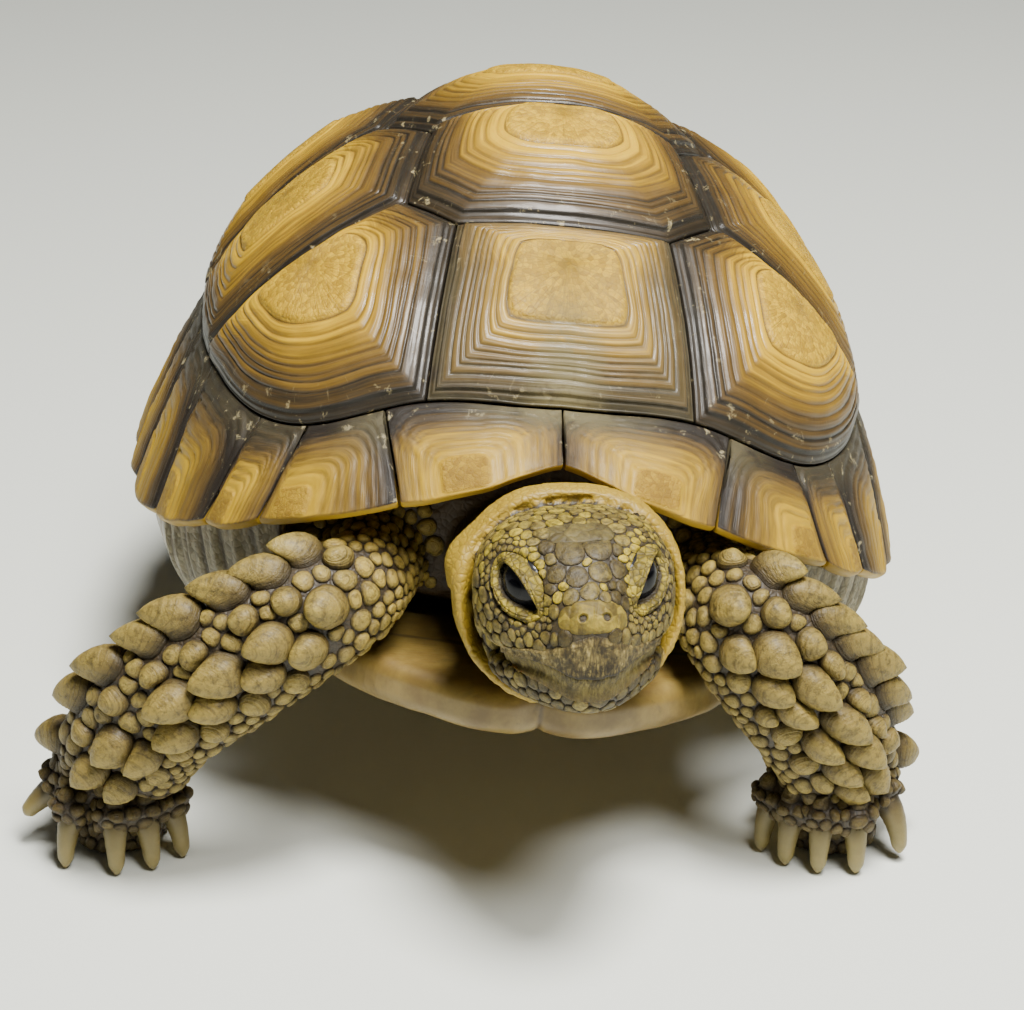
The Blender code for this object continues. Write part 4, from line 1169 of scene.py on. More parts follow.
# the skin's darker and lighter tone in each part, and the tone of its creases
fleshTones = {
    "leg": ((0.028, 0.019, 0.009), (0.06, 0.040, 0.016)),
    "head": ((0.030, 0.021, 0.010), (0.07, 0.050, 0.018)),
    "collar": ((0.27, 0.175, 0.013), (0.43, 0.285, 0.022)),
    "inner": ((0.042, 0.027, 0.013), (0.10, 0.065, 0.028)),
    "creases": {"leg": (0.010, 0.007, 0.004), "head": (0.016, 0.012, 0.007), "collar": (0.17, 0.10, 0.010)},
}

skinForm = {
    "voxel": 0.0005, "legInset": 0.95, "tailInset": 0.4, "columns": 56,
    # places along a claw's root and radius there
    "toe": (
        (-4.5, 1.6), (-3.5, 2.3), (-2.0, 2.7), (0.0, 2.75), (1.4, 2.65), (2.4, 2.5), (2.9, 2.2), (3.0, 1.8),
    ),
}


def oval(centre, across, up, halfWidth, halfHeight, count, power=2.2, low=None, lowPower=None):
    c, s = circle(count)
    height = np.where(s < 0, halfHeight if low is None else low, halfHeight)
    power = np.where(s < 0, lowPower or power, power)
    x = squared(c, power) * halfWidth
    z = squared(s, power) * height
    return np.asarray(centre, float) + x[:, None] * across + z[:, None] * up


def headToWorld(points):
    turn = np.array(Euler((0, 0, headForm["yaw"])).to_matrix())
    return np.asarray(points, float) @ turn.T + headForm["place"]


def worldToHead(points):
    turn = np.array(Euler((0, 0, headForm["yaw"])).to_matrix())
    return (np.asarray(points, float) - headForm["place"]) @ turn


def ringAcross(place, way, wideSide, wide, thick, count):
    way = unit(np.asarray(way, float))
    wideSide = np.asarray(wideSide, float)
    across = unit(wideSide - way * (wideSide @ way))
    return oval(place, across, np.cross(way, across), wide, thick, count)


def legStation(spec, station):
    # a leg's place, half width and half thickness at a station, and the way it runs there
    rows = [(*place, wide, thick) for place, wide, thick in spec["path"]]
    last = len(rows) - 1
    before, after = [rowAt(rows, np.clip(station + d, 0, last))[:3] for d in (-0.1, 0.1)]
    return rowAt(rows, station), unit(after - before)


def legShape(spec):
    count, inset = skinForm["columns"], skinForm["legInset"]
    size = [v - inset for v in spec["rootSize"]]
    rings = [shellToWorld(ringAcross(spec["root"], spec["way"], spec["wideSide"], *size, count))]
    for station in np.linspace(0, len(spec["path"]) - 1, 26):
        here, way = legStation(spec, station)
        rings.append(ringAcross(here[:3], way, spec["wideSide"], here[3] - inset, here[4] - inset, count))
    x, y = spec["sole"]
    for height, radius in footRings:
        place = (x, y, max(height, 0.12))
        rings.append(ringAcross(place, (0, 0, -1), (spec["side"], 0, 0), radius - 0.7, radius - 0.7, count))
    return ringShape(rings)


def neckShape():
    root = shellToWorld(oval(neckForm["root"], sideways, upwards, *neckForm["rootSize"], 72))
    nodes = np.array([(*c, w, h, lean) for c, w, h, lean in neckForm["rings"]])
    steps = np.arange(len(nodes))
    rings = [root]
    for station in np.linspace(0, len(nodes) - 1, 57):
        x, y, z, w, h, lean = [float(np.interp(station, steps, nodes[:, i])) for i in range(6)]
        rings.append(oval((x, y, z), sideways, np.array([0, lean / h, 1.0]), w, h, 72))
    return ringShape(rings)


def headShape():
    rings = []
    rows, inset = headForm["rings"], headForm["inset"]
    # the rings at the corner of the mouth follow each other with nothing between
    for station in np.concatenate([np.linspace(0, 3, 10), np.linspace(4, len(rows) - 1, 34)]):
        y, half, top, wide, bottom, power = rowAt(rows, station)
        lowPower = headForm["cheekSquareness" if y > headForm["mouthCorner"] else "lipSquareness"]
        size = (half - inset, top - wide - inset, 72, power, wide - bottom - inset, lowPower)
        rings.append(headToWorld(oval((0, y, wide), sideways, upwards, *size)))
    return ringShape(rings, endTip=headToWorld(np.array(headForm["tip"]) + [0, inset, 0]))


def jawShape():
    rings = []
    rows, inset = headForm["jaw"], headForm["inset"]
    for station in np.linspace(0, len(rows) - 1, 26):
        y, half, top, bottom = rowAt(rows, station)
        wide = top - 0.25 * (top - bottom)
        size = (half - inset, top - wide - 0.5 * inset, 60, 2.4, wide - bottom - inset)
        rings.append(headToWorld(oval((0, y, wide), sideways, upwards, *size)))
    return ringShape(rings, endTip=headToWorld(np.array(headForm["jawTip"]) + [0, inset, 0]))


def tailShape():
    slant = np.array([0, 0.75, 0.66])
    inset = skinForm["tailInset"]
    wide, tall = tailForm["rootSize"]
    rings = [shellToWorld(oval(tailForm["root"], sideways, upwards, wide - inset, tall - inset, 32))]
    rows = [(*place, radius) for place, radius in tailForm["rings"]]
    for station in np.linspace(0, len(rows) - 1, 16):
        x, y, z, radius = rowAt(rows, station)
        rings.append(oval((x, y, z), sideways, slant, radius - inset, radius - inset, 32))
    return ringShape(rings, endTip=np.array(tailForm["tip"]))


def trunkShape():
    # the dome drawn in, with flat cuts behind the neck, before the tail and over the thighs
    form = trunkForm
    angles = np.radians(np.arange(64) * 360 / 64)
    forward, backward = np.maximum(np.cos(angles), 1e-6), np.maximum(-np.cos(angles), 1e-6)
    away = np.abs((angles + math.pi) % (2 * math.pi) - math.pi)
    slant = np.maximum(np.cos(np.abs(away - math.radians(form["thighAngle"]))), 1e-6)
    middle = shell["centre"][1]
    cut = np.minimum((middle + form["front"]) / forward, (form["rear"] - middle) / backward)
    cut = np.minimum(cut, form["thigh"] / slant)
    rings = []
    for height, share in form["levels"]:
        radius = domeRadius(angles, height, shell["fleshInside"]) * share
        rings.append(shellToWorld(roundPoint(angles, np.minimum(radius, cut), height)))
    tip = shell["centre"] + [0, 0, shell["height"] * shell["fleshInside"]]
    return ringShape(rings, endTip=shellToWorld(tip))


def clawRoot(spec, turn):
    angle = math.radians(turn)
    out = np.array([spec["side"] * math.sin(angle), -math.cos(angle), 0])
    return out, np.array([*spec["sole"], clawForm["height"]]) + out * clawForm["reach"]


def clawWay(out):
    return out * math.cos(clawForm["slope"]) + [0, 0, -math.sin(clawForm["slope"])]


def toeLength(spec, root):
    # the outermost claw of a foot shows more of its length
    far = max(abs(clawRoot(spec, turn)[1][0]) for turn, _ in spec["claws"])
    return 0.3 if abs(root[0]) > far - 0.01 else 1.0


def clawAxes(spec, turn):
    # a claw's root, the way it grows, and the ways across and up
    out, root = clawRoot(spec, turn)
    way, across = clawWay(out), np.cross(out, upwards)
    return root, way, across, np.cross(across, way)


def toeShapes(spec):
    # a toe round the root of each claw
    toes = []
    for turn, _ in spec["claws"]:
        root, way, across, up = clawAxes(spec, turn)
        rings = []
        for along, size in skinForm["toe"]:
            place = root + way * (along * toeLength(spec, root) if along > 0 else along) + up * 0.25
            rings.append(oval(place, across, up, size, size * 0.97, 18, 2.1))
        toes.append(ringShape(rings))
    return toes


def evaluatedMesh(piece):
    graph = bpy.context.evaluated_depsgraph_get()
    return bpy.data.meshes.new_from_object(piece.evaluated_get(graph))


def vertexValues(mesh, key):
    values = np.empty(len(mesh.vertices) * 3)
    mesh.vertices.foreach_get(key, values)
    return values.reshape(-1, 3)


def meshPoints(mesh):
    return vertexValues(mesh, "co") * 1000 + planMiddle


def fleshMesh(shapes):
    # the lofts welded into one closed surface
    flesh = addObject("fleshForm", toMesh("fleshForm", joinShapes(shapes)))
    weld = flesh.modifiers.new("weld", "REMESH")
    weld.mode = "VOXEL"
    weld.voxel_size = skinForm["voxel"]
    weld.use_smooth_shade = True
    final = evaluatedMesh(flesh)
    bpy.data.objects.remove(flesh)
    return final


def regionOf(points, shapes, names):
    # which loft each point of the skin belongs to
    labels = np.concatenate([np.full(len(s["points"]), i) for i, s in enumerate(shapes)])
    tree = searchTree(np.concatenate([s["points"] for s in shapes]))
    nearest = np.array([labels[tree.find(p)[1]] for p in points])
    return {name: nearest == i for i, name in enumerate(names)}


def neckDepth(points):
    # how far along the neck each point lies, and its turn round the neck
    centre = np.array([1.35, 0, 47.0])
    off = points - centre
    return points[:, 1] - 0.36 * off[:, 2], np.arctan2(off[:, 2], off[:, 0])


def neckFolds(points):
    # long folds that run round the collar, its wavy rim and a doubled fold on the right side
    depth, turn = neckDepth(points)
    wheel = np.stack([np.cos(turn) * 2.2, depth * 1.0, np.sin(turn) * 2.2], axis=-1)
    folds = 0.50 * np.abs(noise(wheel, 1.5, 3)) + 0.22 * noise(wheel, 0.8, 4) - 0.2
    edge = ease(-depth, 66, 69.5)
    low = np.stack([np.cos(turn) * 3.0, 0 * depth, np.sin(turn) * 3.0], axis=-1)
    rim = 0.55 * noise(low, 1.6, 8) + 0.12 * noise(points, 0.9, 9)
    double = np.exp(-((np.abs(turn) - math.radians(166)) / 0.22) ** 2)
    double = double * np.exp(-((depth + 68.0) / 2.4) ** 2)
    return folds * (1 - 0.75 * edge) + rim * edge + 1.1 * double * (turn > 0)


def headFolds(points):
    # brows, hollows before the eyes, a groove under the jaw's horn and fine creases
    local = worldToHead(points)
    x, y, z = np.abs(local[:, 0]), local[:, 1], local[:, 2]
    rise = 0.10 * noise(local, 1.4, 12) + 0.06 * noise(local, 0.7, 13)

    def swell(place, size, height):
        away = np.stack([x - place[0], y - place[1], z - place[2]], axis=-1) / size
        return height * np.exp(-(away ** 2).sum(axis=1))

    rise = rise + swell((7.6, -1.5, 8.6), (3.4, 4.2, 1.8), 0.45)
    rise = rise - swell((5.6, -10.2, 3.0), (1.8, 2.2, 1.8), 0.55)
    rise = rise + swell((2.0, -4.6, 9.6), (2.0, 2.6, 2.0), 0.3)
    rise = rise - swell((11.0, -2.0, -4.6), (1.6, 3.4, 1.0), 0.5)
    rise = rise + swell((9.8, 2.0, -6.6), (2.6, 3.0, 1.8), 0.5)
    return rise


def eyeFrame(side):
    # an eye's centre, the way it looks, the long way of its opening and the way across, in the head's axes
    turned = np.array([side, 1, 1])
    gaze = unit(headForm["gaze"]) * turned
    slant = headForm["slant"] * turned
    slant = unit(slant - gaze * (slant @ gaze))
    return headForm["eye"] * turned, gaze, slant, np.cross(gaze, slant) * side


def eyeReach(local, side):
    # how far out each point lies on the lids' oval (1 at their rim), and its depth along the gaze
    centre, gaze, slant, across = eyeFrame(side)
    away = local - centre
    long, wide = headForm["lid"]
    reach = np.hypot(away @ slant / long, away @ across / wide)
    return np.where(away @ gaze > 0, reach, 9.0), away @ gaze


def clearEyes(points):
    # the skin drawn back from under the lids, so the eyeball and the lids take its place
    local = worldToHead(points)
    for side in (-1, 1):
        reach, depth = eyeReach(local, side)
        inner = 3.3 * np.sqrt(np.clip(1 - reach ** 2 * 1.6, 0, 1))
        drop = (1 - ease(reach, 0.74, 1.0)) * np.maximum(depth - inner, 0)
        local = local - eyeFrame(side)[1] * drop[:, None]
    return headToWorld(local)


def makeSkin():
    names = ["trunk", "neck", "head", "jaw", "tail"] + list(legForms)
    shapes = [trunkShape(), neckShape(), headShape(), jawShape(), tailShape()]
    shapes += [legShape(spec) for spec in legForms.values()]
    toes = [pad for spec in legForms.values() for pad in toeShapes(spec)]
    mesh = fleshMesh(shapes + toes)
    points, normals = meshPoints(mesh), vertexValues(mesh, "normal")
    region = regionOf(points, shapes, names)
    headPart = region["head"] | region["jaw"]
    legs = np.logical_or.reduce([region[name] for name in legForms])
    rise = np.where(region["neck"], neckFolds(points), 0) + np.where(headPart, headFolds(points), 0)
    rise = rise + np.where(region["trunk"], 0.9 * noise(points * [1, 1, 0.4], 3.5, 5), 0)
    rise = rise + np.where(legs, 0.16 * noise(points, 1.3, 6) - 0.1, 0)
    moved = points + normals * rise[:, None]
    moved[headPart] = clearEyes(moved[headPart])
    moved[:, 2] = np.maximum(moved[:, 2], 0.05)
    mesh.vertices.foreach_set("co", toScene(moved))
    depth, _ = neckDepth(points)
    thigh = legs * (1 - ease(-points[:, 1], 48, 55)) * (points[:, 1] < 0)
    inner = region["trunk"] + region["neck"] * (1 - ease(-depth, 58, 66)) + thigh
    writeMarks(mesh, {
        # painted shade: the collar's yellow fades into darker skin further back towards the shell
        "collar": region["neck"] * ease(-depth, 60, 67),
        "headSkin": headPart.astype(float),
        "inner": np.clip(inner, 0, 1),
    })
    mesh.update()
    return mesh, region


def makeFleshMaterial():
    make = Recipe("softSkin", 0.55, 0.08, 0.3, subsurface=0.15)
    headSkin, collar, inner = make.marks("headSkin collar inner")
    grain = make.put(grainGroup, Size=0.003)
    pebble = make.put(pebbleGroup, Size=0.0009)

    def mottled(part):
        return make.mix(grain["Value"], *fleshTones[part])

    creases = fleshTones["creases"]
    legTone = make.mix(pebble["Crease"] * 0.7, mottled("leg"), creases["leg"])
    headTone = make.mix(make.grime(0.004, 0.5, 0.15) * 0.6, mottled("head"), creases["head"])
    collarTone = make.mix(pebble["Crease"] * 0.55, mottled("collar"), creases["collar"])
    colour = make.mix(headSkin, legTone, headTone)
    # painted shade: where the collar mark fades further back, the skin turns darker
    colour = make.mix(collar, colour, collarTone)
    colour = make.mix(inner, colour, mottled("inner"))
    height = pebble["Height"] * 0.6 + grain["Height"] * 0.5
    return make.finish(colour, make.span(grain["Value"], 0.42, 0.7), height, 0.4, 0.0003)


def placeSkin():
    mesh, region = makeSkin()
    skin = addObject("skin", mesh)
    mesh.materials.clear()
    mesh.materials.append(makeFleshMaterial())
    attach(skin, "root")
    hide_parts("trunk", "neck", "head", "lower_jaw", "tail", *[f"leg_{name}" for name in legForms])
    points = meshPoints(mesh)
    faces = np.empty(len(mesh.loops), np.int32)
    mesh.loops.foreach_get("vertex_index", faces)
    starts = np.empty(len(mesh.polygons), np.int32)
    mesh.polygons.foreach_get("loop_start", starts)
    polygons = [f.tolist() for f in np.split(faces, starts[1:])]
    tree = BVHTree.FromPolygons([tuple(p) for p in points], polygons)
    print("skin made,", len(mesh.polygons), "faces")
    return points, region, tree


skinPoints, skinRegion, skinTree = placeSkin()


# scales

def snapToSkin(points):
    found = [skinTree.find_nearest(p) for p in points]
    return np.array([tuple(f[0]) for f in found]), np.array([tuple(f[1]) for f in found])


# how close scales start, how far apart they are pushed, by what share of the way and how often
scaleSpacing = {"overlap": 0.86, "apart": 1.02, "push": 0.55, "rounds": 5}


def scatter(places, sizes, taken, takenSizes, rng):
    # darts thrown on the skin: each keeps clear of those before it by the sum of their sizes
    order = rng.permutation(len(places))
    spots = np.zeros((len(places) + len(taken), 3))
    radii = np.zeros(len(spots))
    count = len(taken)
    spots[:count] = taken
    radii[:count] = takenSizes
    kept = []
    for i in order:
        away = ((spots[:count] - places[i]) ** 2).sum(axis=1)
        if not (away < ((radii[:count] + sizes[i]) * scaleSpacing["overlap"]) ** 2).any():
            spots[count], radii[count] = places[i], sizes[i]
            count += 1
            kept.append(i)
    return np.array(kept, int)


def relax(places, sizes, fixed):
    # each scale pushed off its neighbours along the skin, with the fixed ones in place
    for _ in range(scaleSpacing["rounds"]):
        away = places[:, None] - places[None]
        gap = np.linalg.norm(away, axis=2) + np.eye(len(places)) * 99
        want = (sizes[:, None] + sizes[None]) * scaleSpacing["apart"]
        push = np.clip(want - gap, 0, None) / want
        step = (away / gap[..., None] * (push * np.minimum(sizes[:, None], 1.5))[..., None]).sum(axis=1)
        step[:fixed] = 0
        places = places.copy()
        places[fixed:] = snapToSkin(places[fixed:] + scaleSpacing["push"] * step[fixed:])[0]
    return places


# levels of a scale from its sunk foot up: share of its outline, share of its height, share of its lean
flatLevels = ((1.0, -0.9, 0), (1.0, 0.1, 0), (0.96, 0.6, 0.1), (0.86, 0.9, 0.3), (0.5, 1.0, 0.7))
roundLevels = (
    (1.0, -0.5, 0), (1.0, 0.08, 0), (0.95, 0.38, 0.05), (0.82, 0.68, 0.2), (0.58, 0.90, 0.45),
    (0.28, 0.99, 0.75),
)


def raisedLevels(blunt, narrow, ripple, speed, lean):
    # a tall scale that narrows upwards in faint ripples
    levels = [(1.0, -0.4, 0), (1.0, 0.05, 0)]
    for t in np.linspace(0, 1, 15)[1:-1]:
        wide = (1 - t ** blunt) ** narrow * (1 + ripple * math.sin(t * speed))
        levels.append((wide, 0.05 + 0.95 * t ** 0.62, t ** lean))
    return levels


knobLevels = raisedLevels(2.0, 0.6, 0.02, 27, 1.8)
spurLevels = raisedLevels(1.7, 0.66, 0.015, 33, 1.7)
scaleKinds = (flatLevels, roundLevels, knobLevels, spurLevels)


def plantScales(points, sizes, fixed, fixedSizes, most, rng):
    # the places and sizes of scales on some of the points, with the fixed ones first
    pool = rng.permutation(len(points))[:most]
    kept = pool[scatter(points[pool], sizes[pool], fixed, fixedSizes, rng)]
    radii = np.concatenate([fixedSizes, sizes[kept]])
    return relax(np.concatenate([fixed, points[kept]]), radii, len(fixed)), radii


def oneScale(i, coat, near, look):
    place, normal, radius, reach, height = [
        coat[key][i] for key in ("spots", "normals", "radii", "reaches", "heights")
    ]
    along = unit(coat["ways"][i] - normal * (coat["ways"][i] @ normal))
    across = np.cross(normal, along)
    count = look["sides"][coat["kinds"][i]]
    c, s = circle(count)
    spokes = c[:, None] * along + s[:, None] * across
    extent = np.full(count, radius * look["spread"])
    # each neighbour cuts the outline off halfway
    offset = coat["spots"][near] - place
    distance = np.linalg.norm(offset, axis=1)
    plane = (distance ** 2 + radius ** 2 - coat["radii"][near] ** 2) / (2 * distance) - look["gap"]
    cosine = spokes @ (offset / distance[:, None]).T
    limit = np.where(cosine > 0.12, plane / np.maximum(cosine, 0.12), 99)
    if len(near):
        extent = np.minimum(extent, limit.min(axis=1))
    extent = np.maximum(extent, radius * 0.35)
    for _ in range(7 if count > 20 else 1):
        extent = 0.5 * extent + 0.25 * (np.roll(extent, 1) + np.roll(extent, -1))
    offset = snapToSkin(place + spokes * extent[:, None])[0] - place
    ahead, deep = offset @ along, np.minimum(offset @ normal, 0.12 * radius)
    flat = (offset @ across)[:, None] * across
    # a leaning scale bends as it rises, each ring of it tipped over with its axis
    bend = math.atan2(reach, max(height, 0.1)) * (0.8 if reach > 1 else 0.0)
    levels = scaleKinds[coat["kinds"][i]]
    rings = []
    for wide, high, lean in levels:
        tipped = bend * lean ** 0.6
        turned = ahead[:, None] * (along * math.cos(tipped) - normal * math.sin(tipped))
        ring = place + (flat + turned + deep[:, None] * normal) * wide
        lift = height * high if high > 0 else high * look["sunk"]
        rings.append(ring + normal * lift + along * reach * lean)
    tip = place + normal * height * 1.01 + along * reach * 1.03
    share = np.array([level[0] for level in levels])[:, None, None]
    rise = np.array([max(level[1], 0) for level in levels])[:, None]
    tone = (math.sin(i * 12.9898) * 43758.5453) % 1
    tint, patch = coat["tints"][i], coat["roots"][i]
    marks = {"rise": (rise, 0.0, 1.0), "tone": (tone, tone, tone), "tint": (tint, tint, tint)}
    spread = patch + 0.0015 * share * np.stack([c, s], axis=-1)
    return ringShape(rings, place - normal * look["sunk"], tip, marks, (spread, patch, patch))


def scaleCoat(name, coat, material, slot, look):
    # kinds: 0 flat, 1 round, 2 knobbed, 3 a spur; tints: 0 dark, 0.5 plain, 1 yellow
    spots, radii = coat["spots"], coat["radii"]
    coat["normals"] = snapToSkin(spots)[1]
    tree = searchTree(spots)
    shapes = []
    for i, spot in enumerate(spots):
        near = [j for _, j, _ in tree.find_range(spot, (radii[i] + radii.max()) * 1.15) if j != i]
        near = [j for j in near if np.linalg.norm(spots[j] - spot) < (radii[i] + radii[j]) * 1.35]
        shapes.append(oneScale(i, coat, np.array(near, int), look))
    makePiece(name, joinShapes(shapes), material, slot)
    print(name, len(spots), "scales")


def makeScaleMaterial(name, look):
    make = Recipe(name, look["roughness"], look["coat"], 0.25, 0.3, 0.12)
    rise, tone, tint = make.marks("rise tone tint")
    grain = make.put(grainGroup, Size=look["grain"])
    # thin broken growth lines round each scale
    place = make.point(X=rise * look["lineCount"], Y=tone * 40.0, Z=grain["Value"] * 3.0)
    lines = make.noise({"Vector": place, "Scale": 1.0, "Detail": 2.0})
    base = make.ramp(rise * 0.8 + (grain["Value"] - 0.5) * 0.7, look["stops"])
    base = make.mix(tone * 0.5, base, look["other"])
    base = make.mix(make.ease(tint, 0.5, 1.0) * 0.8, base, look["yellow"])
    base = make.mix((1.0 - make.ease(tint, 0.0, 0.5)) * 0.8, base, look["dark"])
    base = make.mix(make.ease(lines, 0.54, 0.63) * look["lines"], base, look["dirt"])
    base = make.mix((1.0 - make.ease(rise, 0.0, look["footDark"])) * 0.9, base, look["dirt"])
    grime = make.grime(look["grime"], look["cover"], 0.16)
    base = make.mix(grime * look["dirtiness"], base, look["dirt"])
    rough = make.span(grain["Value"], look["roughness"] - 0.12, look["roughness"] + 0.15)
    return make.finish(base, rough, lines * 0.6 + grain["Height"] * 0.7, 0.75, 0.00045)


legScales = {
    # angle from the outer edge towards the front, first and last station, count, size, height, reach, kind
    "shields": (
        (0, 0.95, 5.05, 8, 3.2, 3.7, 4.6, 3),
        (38, 0.8, 4.6, 7, 2.0, 2.0, 1.4, 2),
        (70, 1.1, 4.95, 6, 3.2, 3.2, 3.6, 2),
        (104, 1.5, 4.9, 6, 2.8, 2.8, 3.0, 2),
        (134, 1.9, 4.5, 5, 1.9, 1.5, 1.2, 2),
    ),
    # on the backs of the thighs
    "thigh": ((165, 0.25, 1.1, 3, 1.9, 2.4, 1.6, 3), (120, 0.5, 1.2, 2, 1.7, 1.6, 1.2, 2)),
    "small": 1.2, "tiny": 0.72, "toe": 1.1, "above": 0.9,
    # over each claw: how far along, how far to the side, how large
    "toeSpots": ((1.9, -0.75, 0.8), (1.9, 0.75, 0.8), (0.5, 0.0, 1.15), (-1.5, 0.4, 1.0)),
    "look": {"gap": 0.07, "spread": 1.4, "sunk": 0.7, "sides": (10, 14, 28, 28)},
    "material": {
        "roughness": 0.5, "coat": 0.06, "grain": 0.0012, "grime": 0.0010, "cover": 0.44, "dirtiness": 0.6,
        "lines": 0.34, "lineCount": 17.0, "footDark": 0.68,
        "stops": (
            (0.0, (0.068, 0.047, 0.016)), (0.35, (0.13, 0.092, 0.027)),
            (0.8, (0.30, 0.223, 0.050)), (1.0, (0.48, 0.37, 0.090)),
        ),
        "other": (0.20, 0.146, 0.040), "yellow": (0.42, 0.30, 0.060), "dark": (0.060, 0.041, 0.017),
        "dirt": (0.020, 0.0135, 0.007),
    },
}


def legFrame(spec, points):
    # the station along a leg, the angle from its outer edge towards its front, and the way to the foot
    last = len(spec["path"]) - 1
    stations = np.linspace(0, last + 1, 60)
    places, ways, across = [], [], []
    sole = np.array([*spec["sole"], 0.0])
    for station in stations:
        here, way = legStation(spec, min(station, last))
        place = here[:3]
        if station > last:
            place = place + (sole - place) * (station - last)
            way = unit(sole - here[:3])
        wide = np.asarray(spec["wideSide"], float)
        places.append(place)
        ways.append(way)
        across.append(unit(wide - way * (wide @ way)))
    places, ways, across = np.array(places), np.array(ways), np.array(across)
    nearest = np.linalg.norm(points[:, None] - places[None], axis=2).argmin(axis=1)
    out = points - places[nearest]
    up = np.cross(ways[nearest], across[nearest])
    angle = np.degrees(np.arctan2((out * up).sum(axis=1), (out * across[nearest]).sum(axis=1)))
    return stations[nearest], angle * spec["side"], ways[nearest], across[nearest]


def shieldSpots(rows, station, angle, rng):
    # the skin point, size, height, reach and kind of each large scale of a leg
    chosen = []
    for turn, first, final, count, size, height, reach, kind in rows:
        for k in range(count):
            here = first + (final - first) * (k + rng.uniform(-0.12, 0.12)) / (count - 1)
            bend = turn + rng.uniform(-5, 5) * (kind == 2)
            away = (angle - bend + 180) % 360 - 180
            best = np.argmin(((station - here) * 7) ** 2 + (away * 0.13) ** 2)
            swell = math.sin(math.pi * (0.2 + 0.65 * k / (count - 1)))
            grown = (0.72 + 0.33 * swell, 0.6 + 0.45 * swell, 0.5 + 0.6 * swell)
            if kind == 3:
                grown = (0.8 + 0.22 * swell, 0.7 + 0.33 * swell, 0.62 + 0.42 * swell)
            chosen.append((best, size * grown[0], height * grown[1], reach * grown[2], kind))
    return chosen


def toeSpots(spec, points, size):
    # scales over the root of each claw
    chosen = []
    for turn, _ in spec["claws"]:
        root, way, across, up = clawAxes(spec, turn)
        for along, side, grown in legScales["toeSpots"]:
            lean = side * 1.2
            spot = root + way * (along * toeLength(spec, root))
            spot = spot + (across * math.sin(lean) + up * math.cos(lean)) * 2.7
            best = np.argmin(((points - spot) ** 2).sum(axis=1))
            chosen.append((best, size * grown, 0.85, 0.35, 1))
    return chosen


def dressLeg(name, spec, material, seed):
    rng = np.random.default_rng(seed)
    points = skinPoints[skinRegion[name] & (skinPoints[:, 2] > legScales["above"])]
    station, angle = legFrame(spec, points)[:2]
    last = len(spec["path"]) - 1
    big = shieldSpots(legScales["shields" if name.startswith("front") else "thigh"], station, angle, rng)
    big += toeSpots(spec, points, legScales["toe"])
    # small scales: larger on the front and near the elbow, tiny behind and on the foot
    facing = np.cos(np.radians(angle - 55))
    sizes = legScales["small"] * (0.90 + 0.25 * facing + 0.25 * rng.uniform(-1, 1, len(points)))
    sizes = np.where(station > last + 0.05, legScales["tiny"] * rng.uniform(0.9, 1.6, len(points)), sizes)
    sizes = np.where(station < 0.35, sizes * 0.75, sizes)
    chosen = points[[b[0] for b in big]]
    spots, radii = plantScales(points, sizes, chosen, np.array([b[1] for b in big]), 9000, rng)
    station, angle, way, outward = legFrame(spec, spots)
    heights = (0.12 + 0.52 * radii) * rng.uniform(0.8, 1.25, len(spots))
    reaches = 0.3 * radii
    kinds = np.where(radii < 0.85, 0, 1)
    ways = way + 0.25 * outward
    tints = 0.5 + 0.35 * ease(1.6 - station, 0, 1.4) - 0.5 * ease(station, last - 0.3, last + 0.3)
    tints = np.clip(tints + rng.uniform(-0.15, 0.15, len(spots)), 0, 1)
    for i, (_, _, height, reach, kind) in enumerate(big):
        heights[i], reaches[i], kinds[i] = height, reach, kind
        ways[i] = way[i] * (0.8 if kind == 3 else 0.9) + outward[i] * (0.9 if kind == 3 else 0.35)
        tints[i] = 0.1 if kind == 1 else 0.62
    roots = np.stack([(angle / 360 + 0.5) * 0.97 + 0.01, 0.01 + 0.97 * station / (last + 1)], axis=-1)
    coat = {
        "spots": spots, "radii": radii, "ways": ways, "heights": heights, "reaches": reaches,
        "kinds": kinds, "tints": tints, "roots": roots,
    }
    scaleCoat(f"scales_{name}", coat, material, "leg_skin", legScales["look"])


legHorn = makeScaleMaterial("legScale", legScales["material"])
for number, (name, spec) in enumerate(legForms.items()):
    dressLeg(name, spec, legHorn, 200 + number)


# claws

def makeClawMaterial():
    make = Recipe("clawHorn", 0.42, 0.2, 0.3, subsurface=0.15)
    rise = make.marks("rise")[0]
    grain = make.put(grainGroup, Size=0.0022)
    colour = make.ramp(rise + (grain["Value"] - 0.5) * 0.5, clawForm["stops"])
    height = grain["Height"] + make.noise({"Scale": 900.0, "Detail": 3.0}) * 0.3
    return make.finish(colour, make.span(grain["Value"], 0.34, 0.56), height, 0.35, 0.0002)


def makeClaw(node, spec, turn, lift, horn):
    out, root = clawRoot(spec, turn)
    rootWay = clawWay(out)
    start = root - rootWay * 0.8
    end = np.array([*spec["sole"], 0.25 + lift]) + out * (spec["reach"] + 0.35 * lift)
    bend = root + rootWay * (clawForm["curve"] + 0.3)
    steps = np.concatenate([np.linspace(0, 0.9, 15), [0.945, 0.975, 0.993]])
    rings = []
    for t in steps:
        place = (1 - t) ** 2 * start + 2 * t * (1 - t) * bend + t * t * end
        way = unit(2 * (1 - t) * (bend - start) + 2 * t * (end - bend))
        across = unit(np.cross(way, out))
        share = (1 - 0.55 * t ** 1.25) * min(1.0, (1 - t) / 0.1) ** 0.5
        ripple = 1 + 0.015 * math.sin(t * 40)
        wide, tall = clawForm["halfWidth"] * share * ripple, clawForm["halfHeight"] * share * ripple
        rings.append(oval(place, across, np.cross(way, across), wide, tall, 22, 2.1))
    shape = ringShape(rings, endTip=end, marks={"rise": (steps[:, None], 0.0, 1.0)})
    makePiece(node + "_horn", shape, horn, "claw_horn", node)


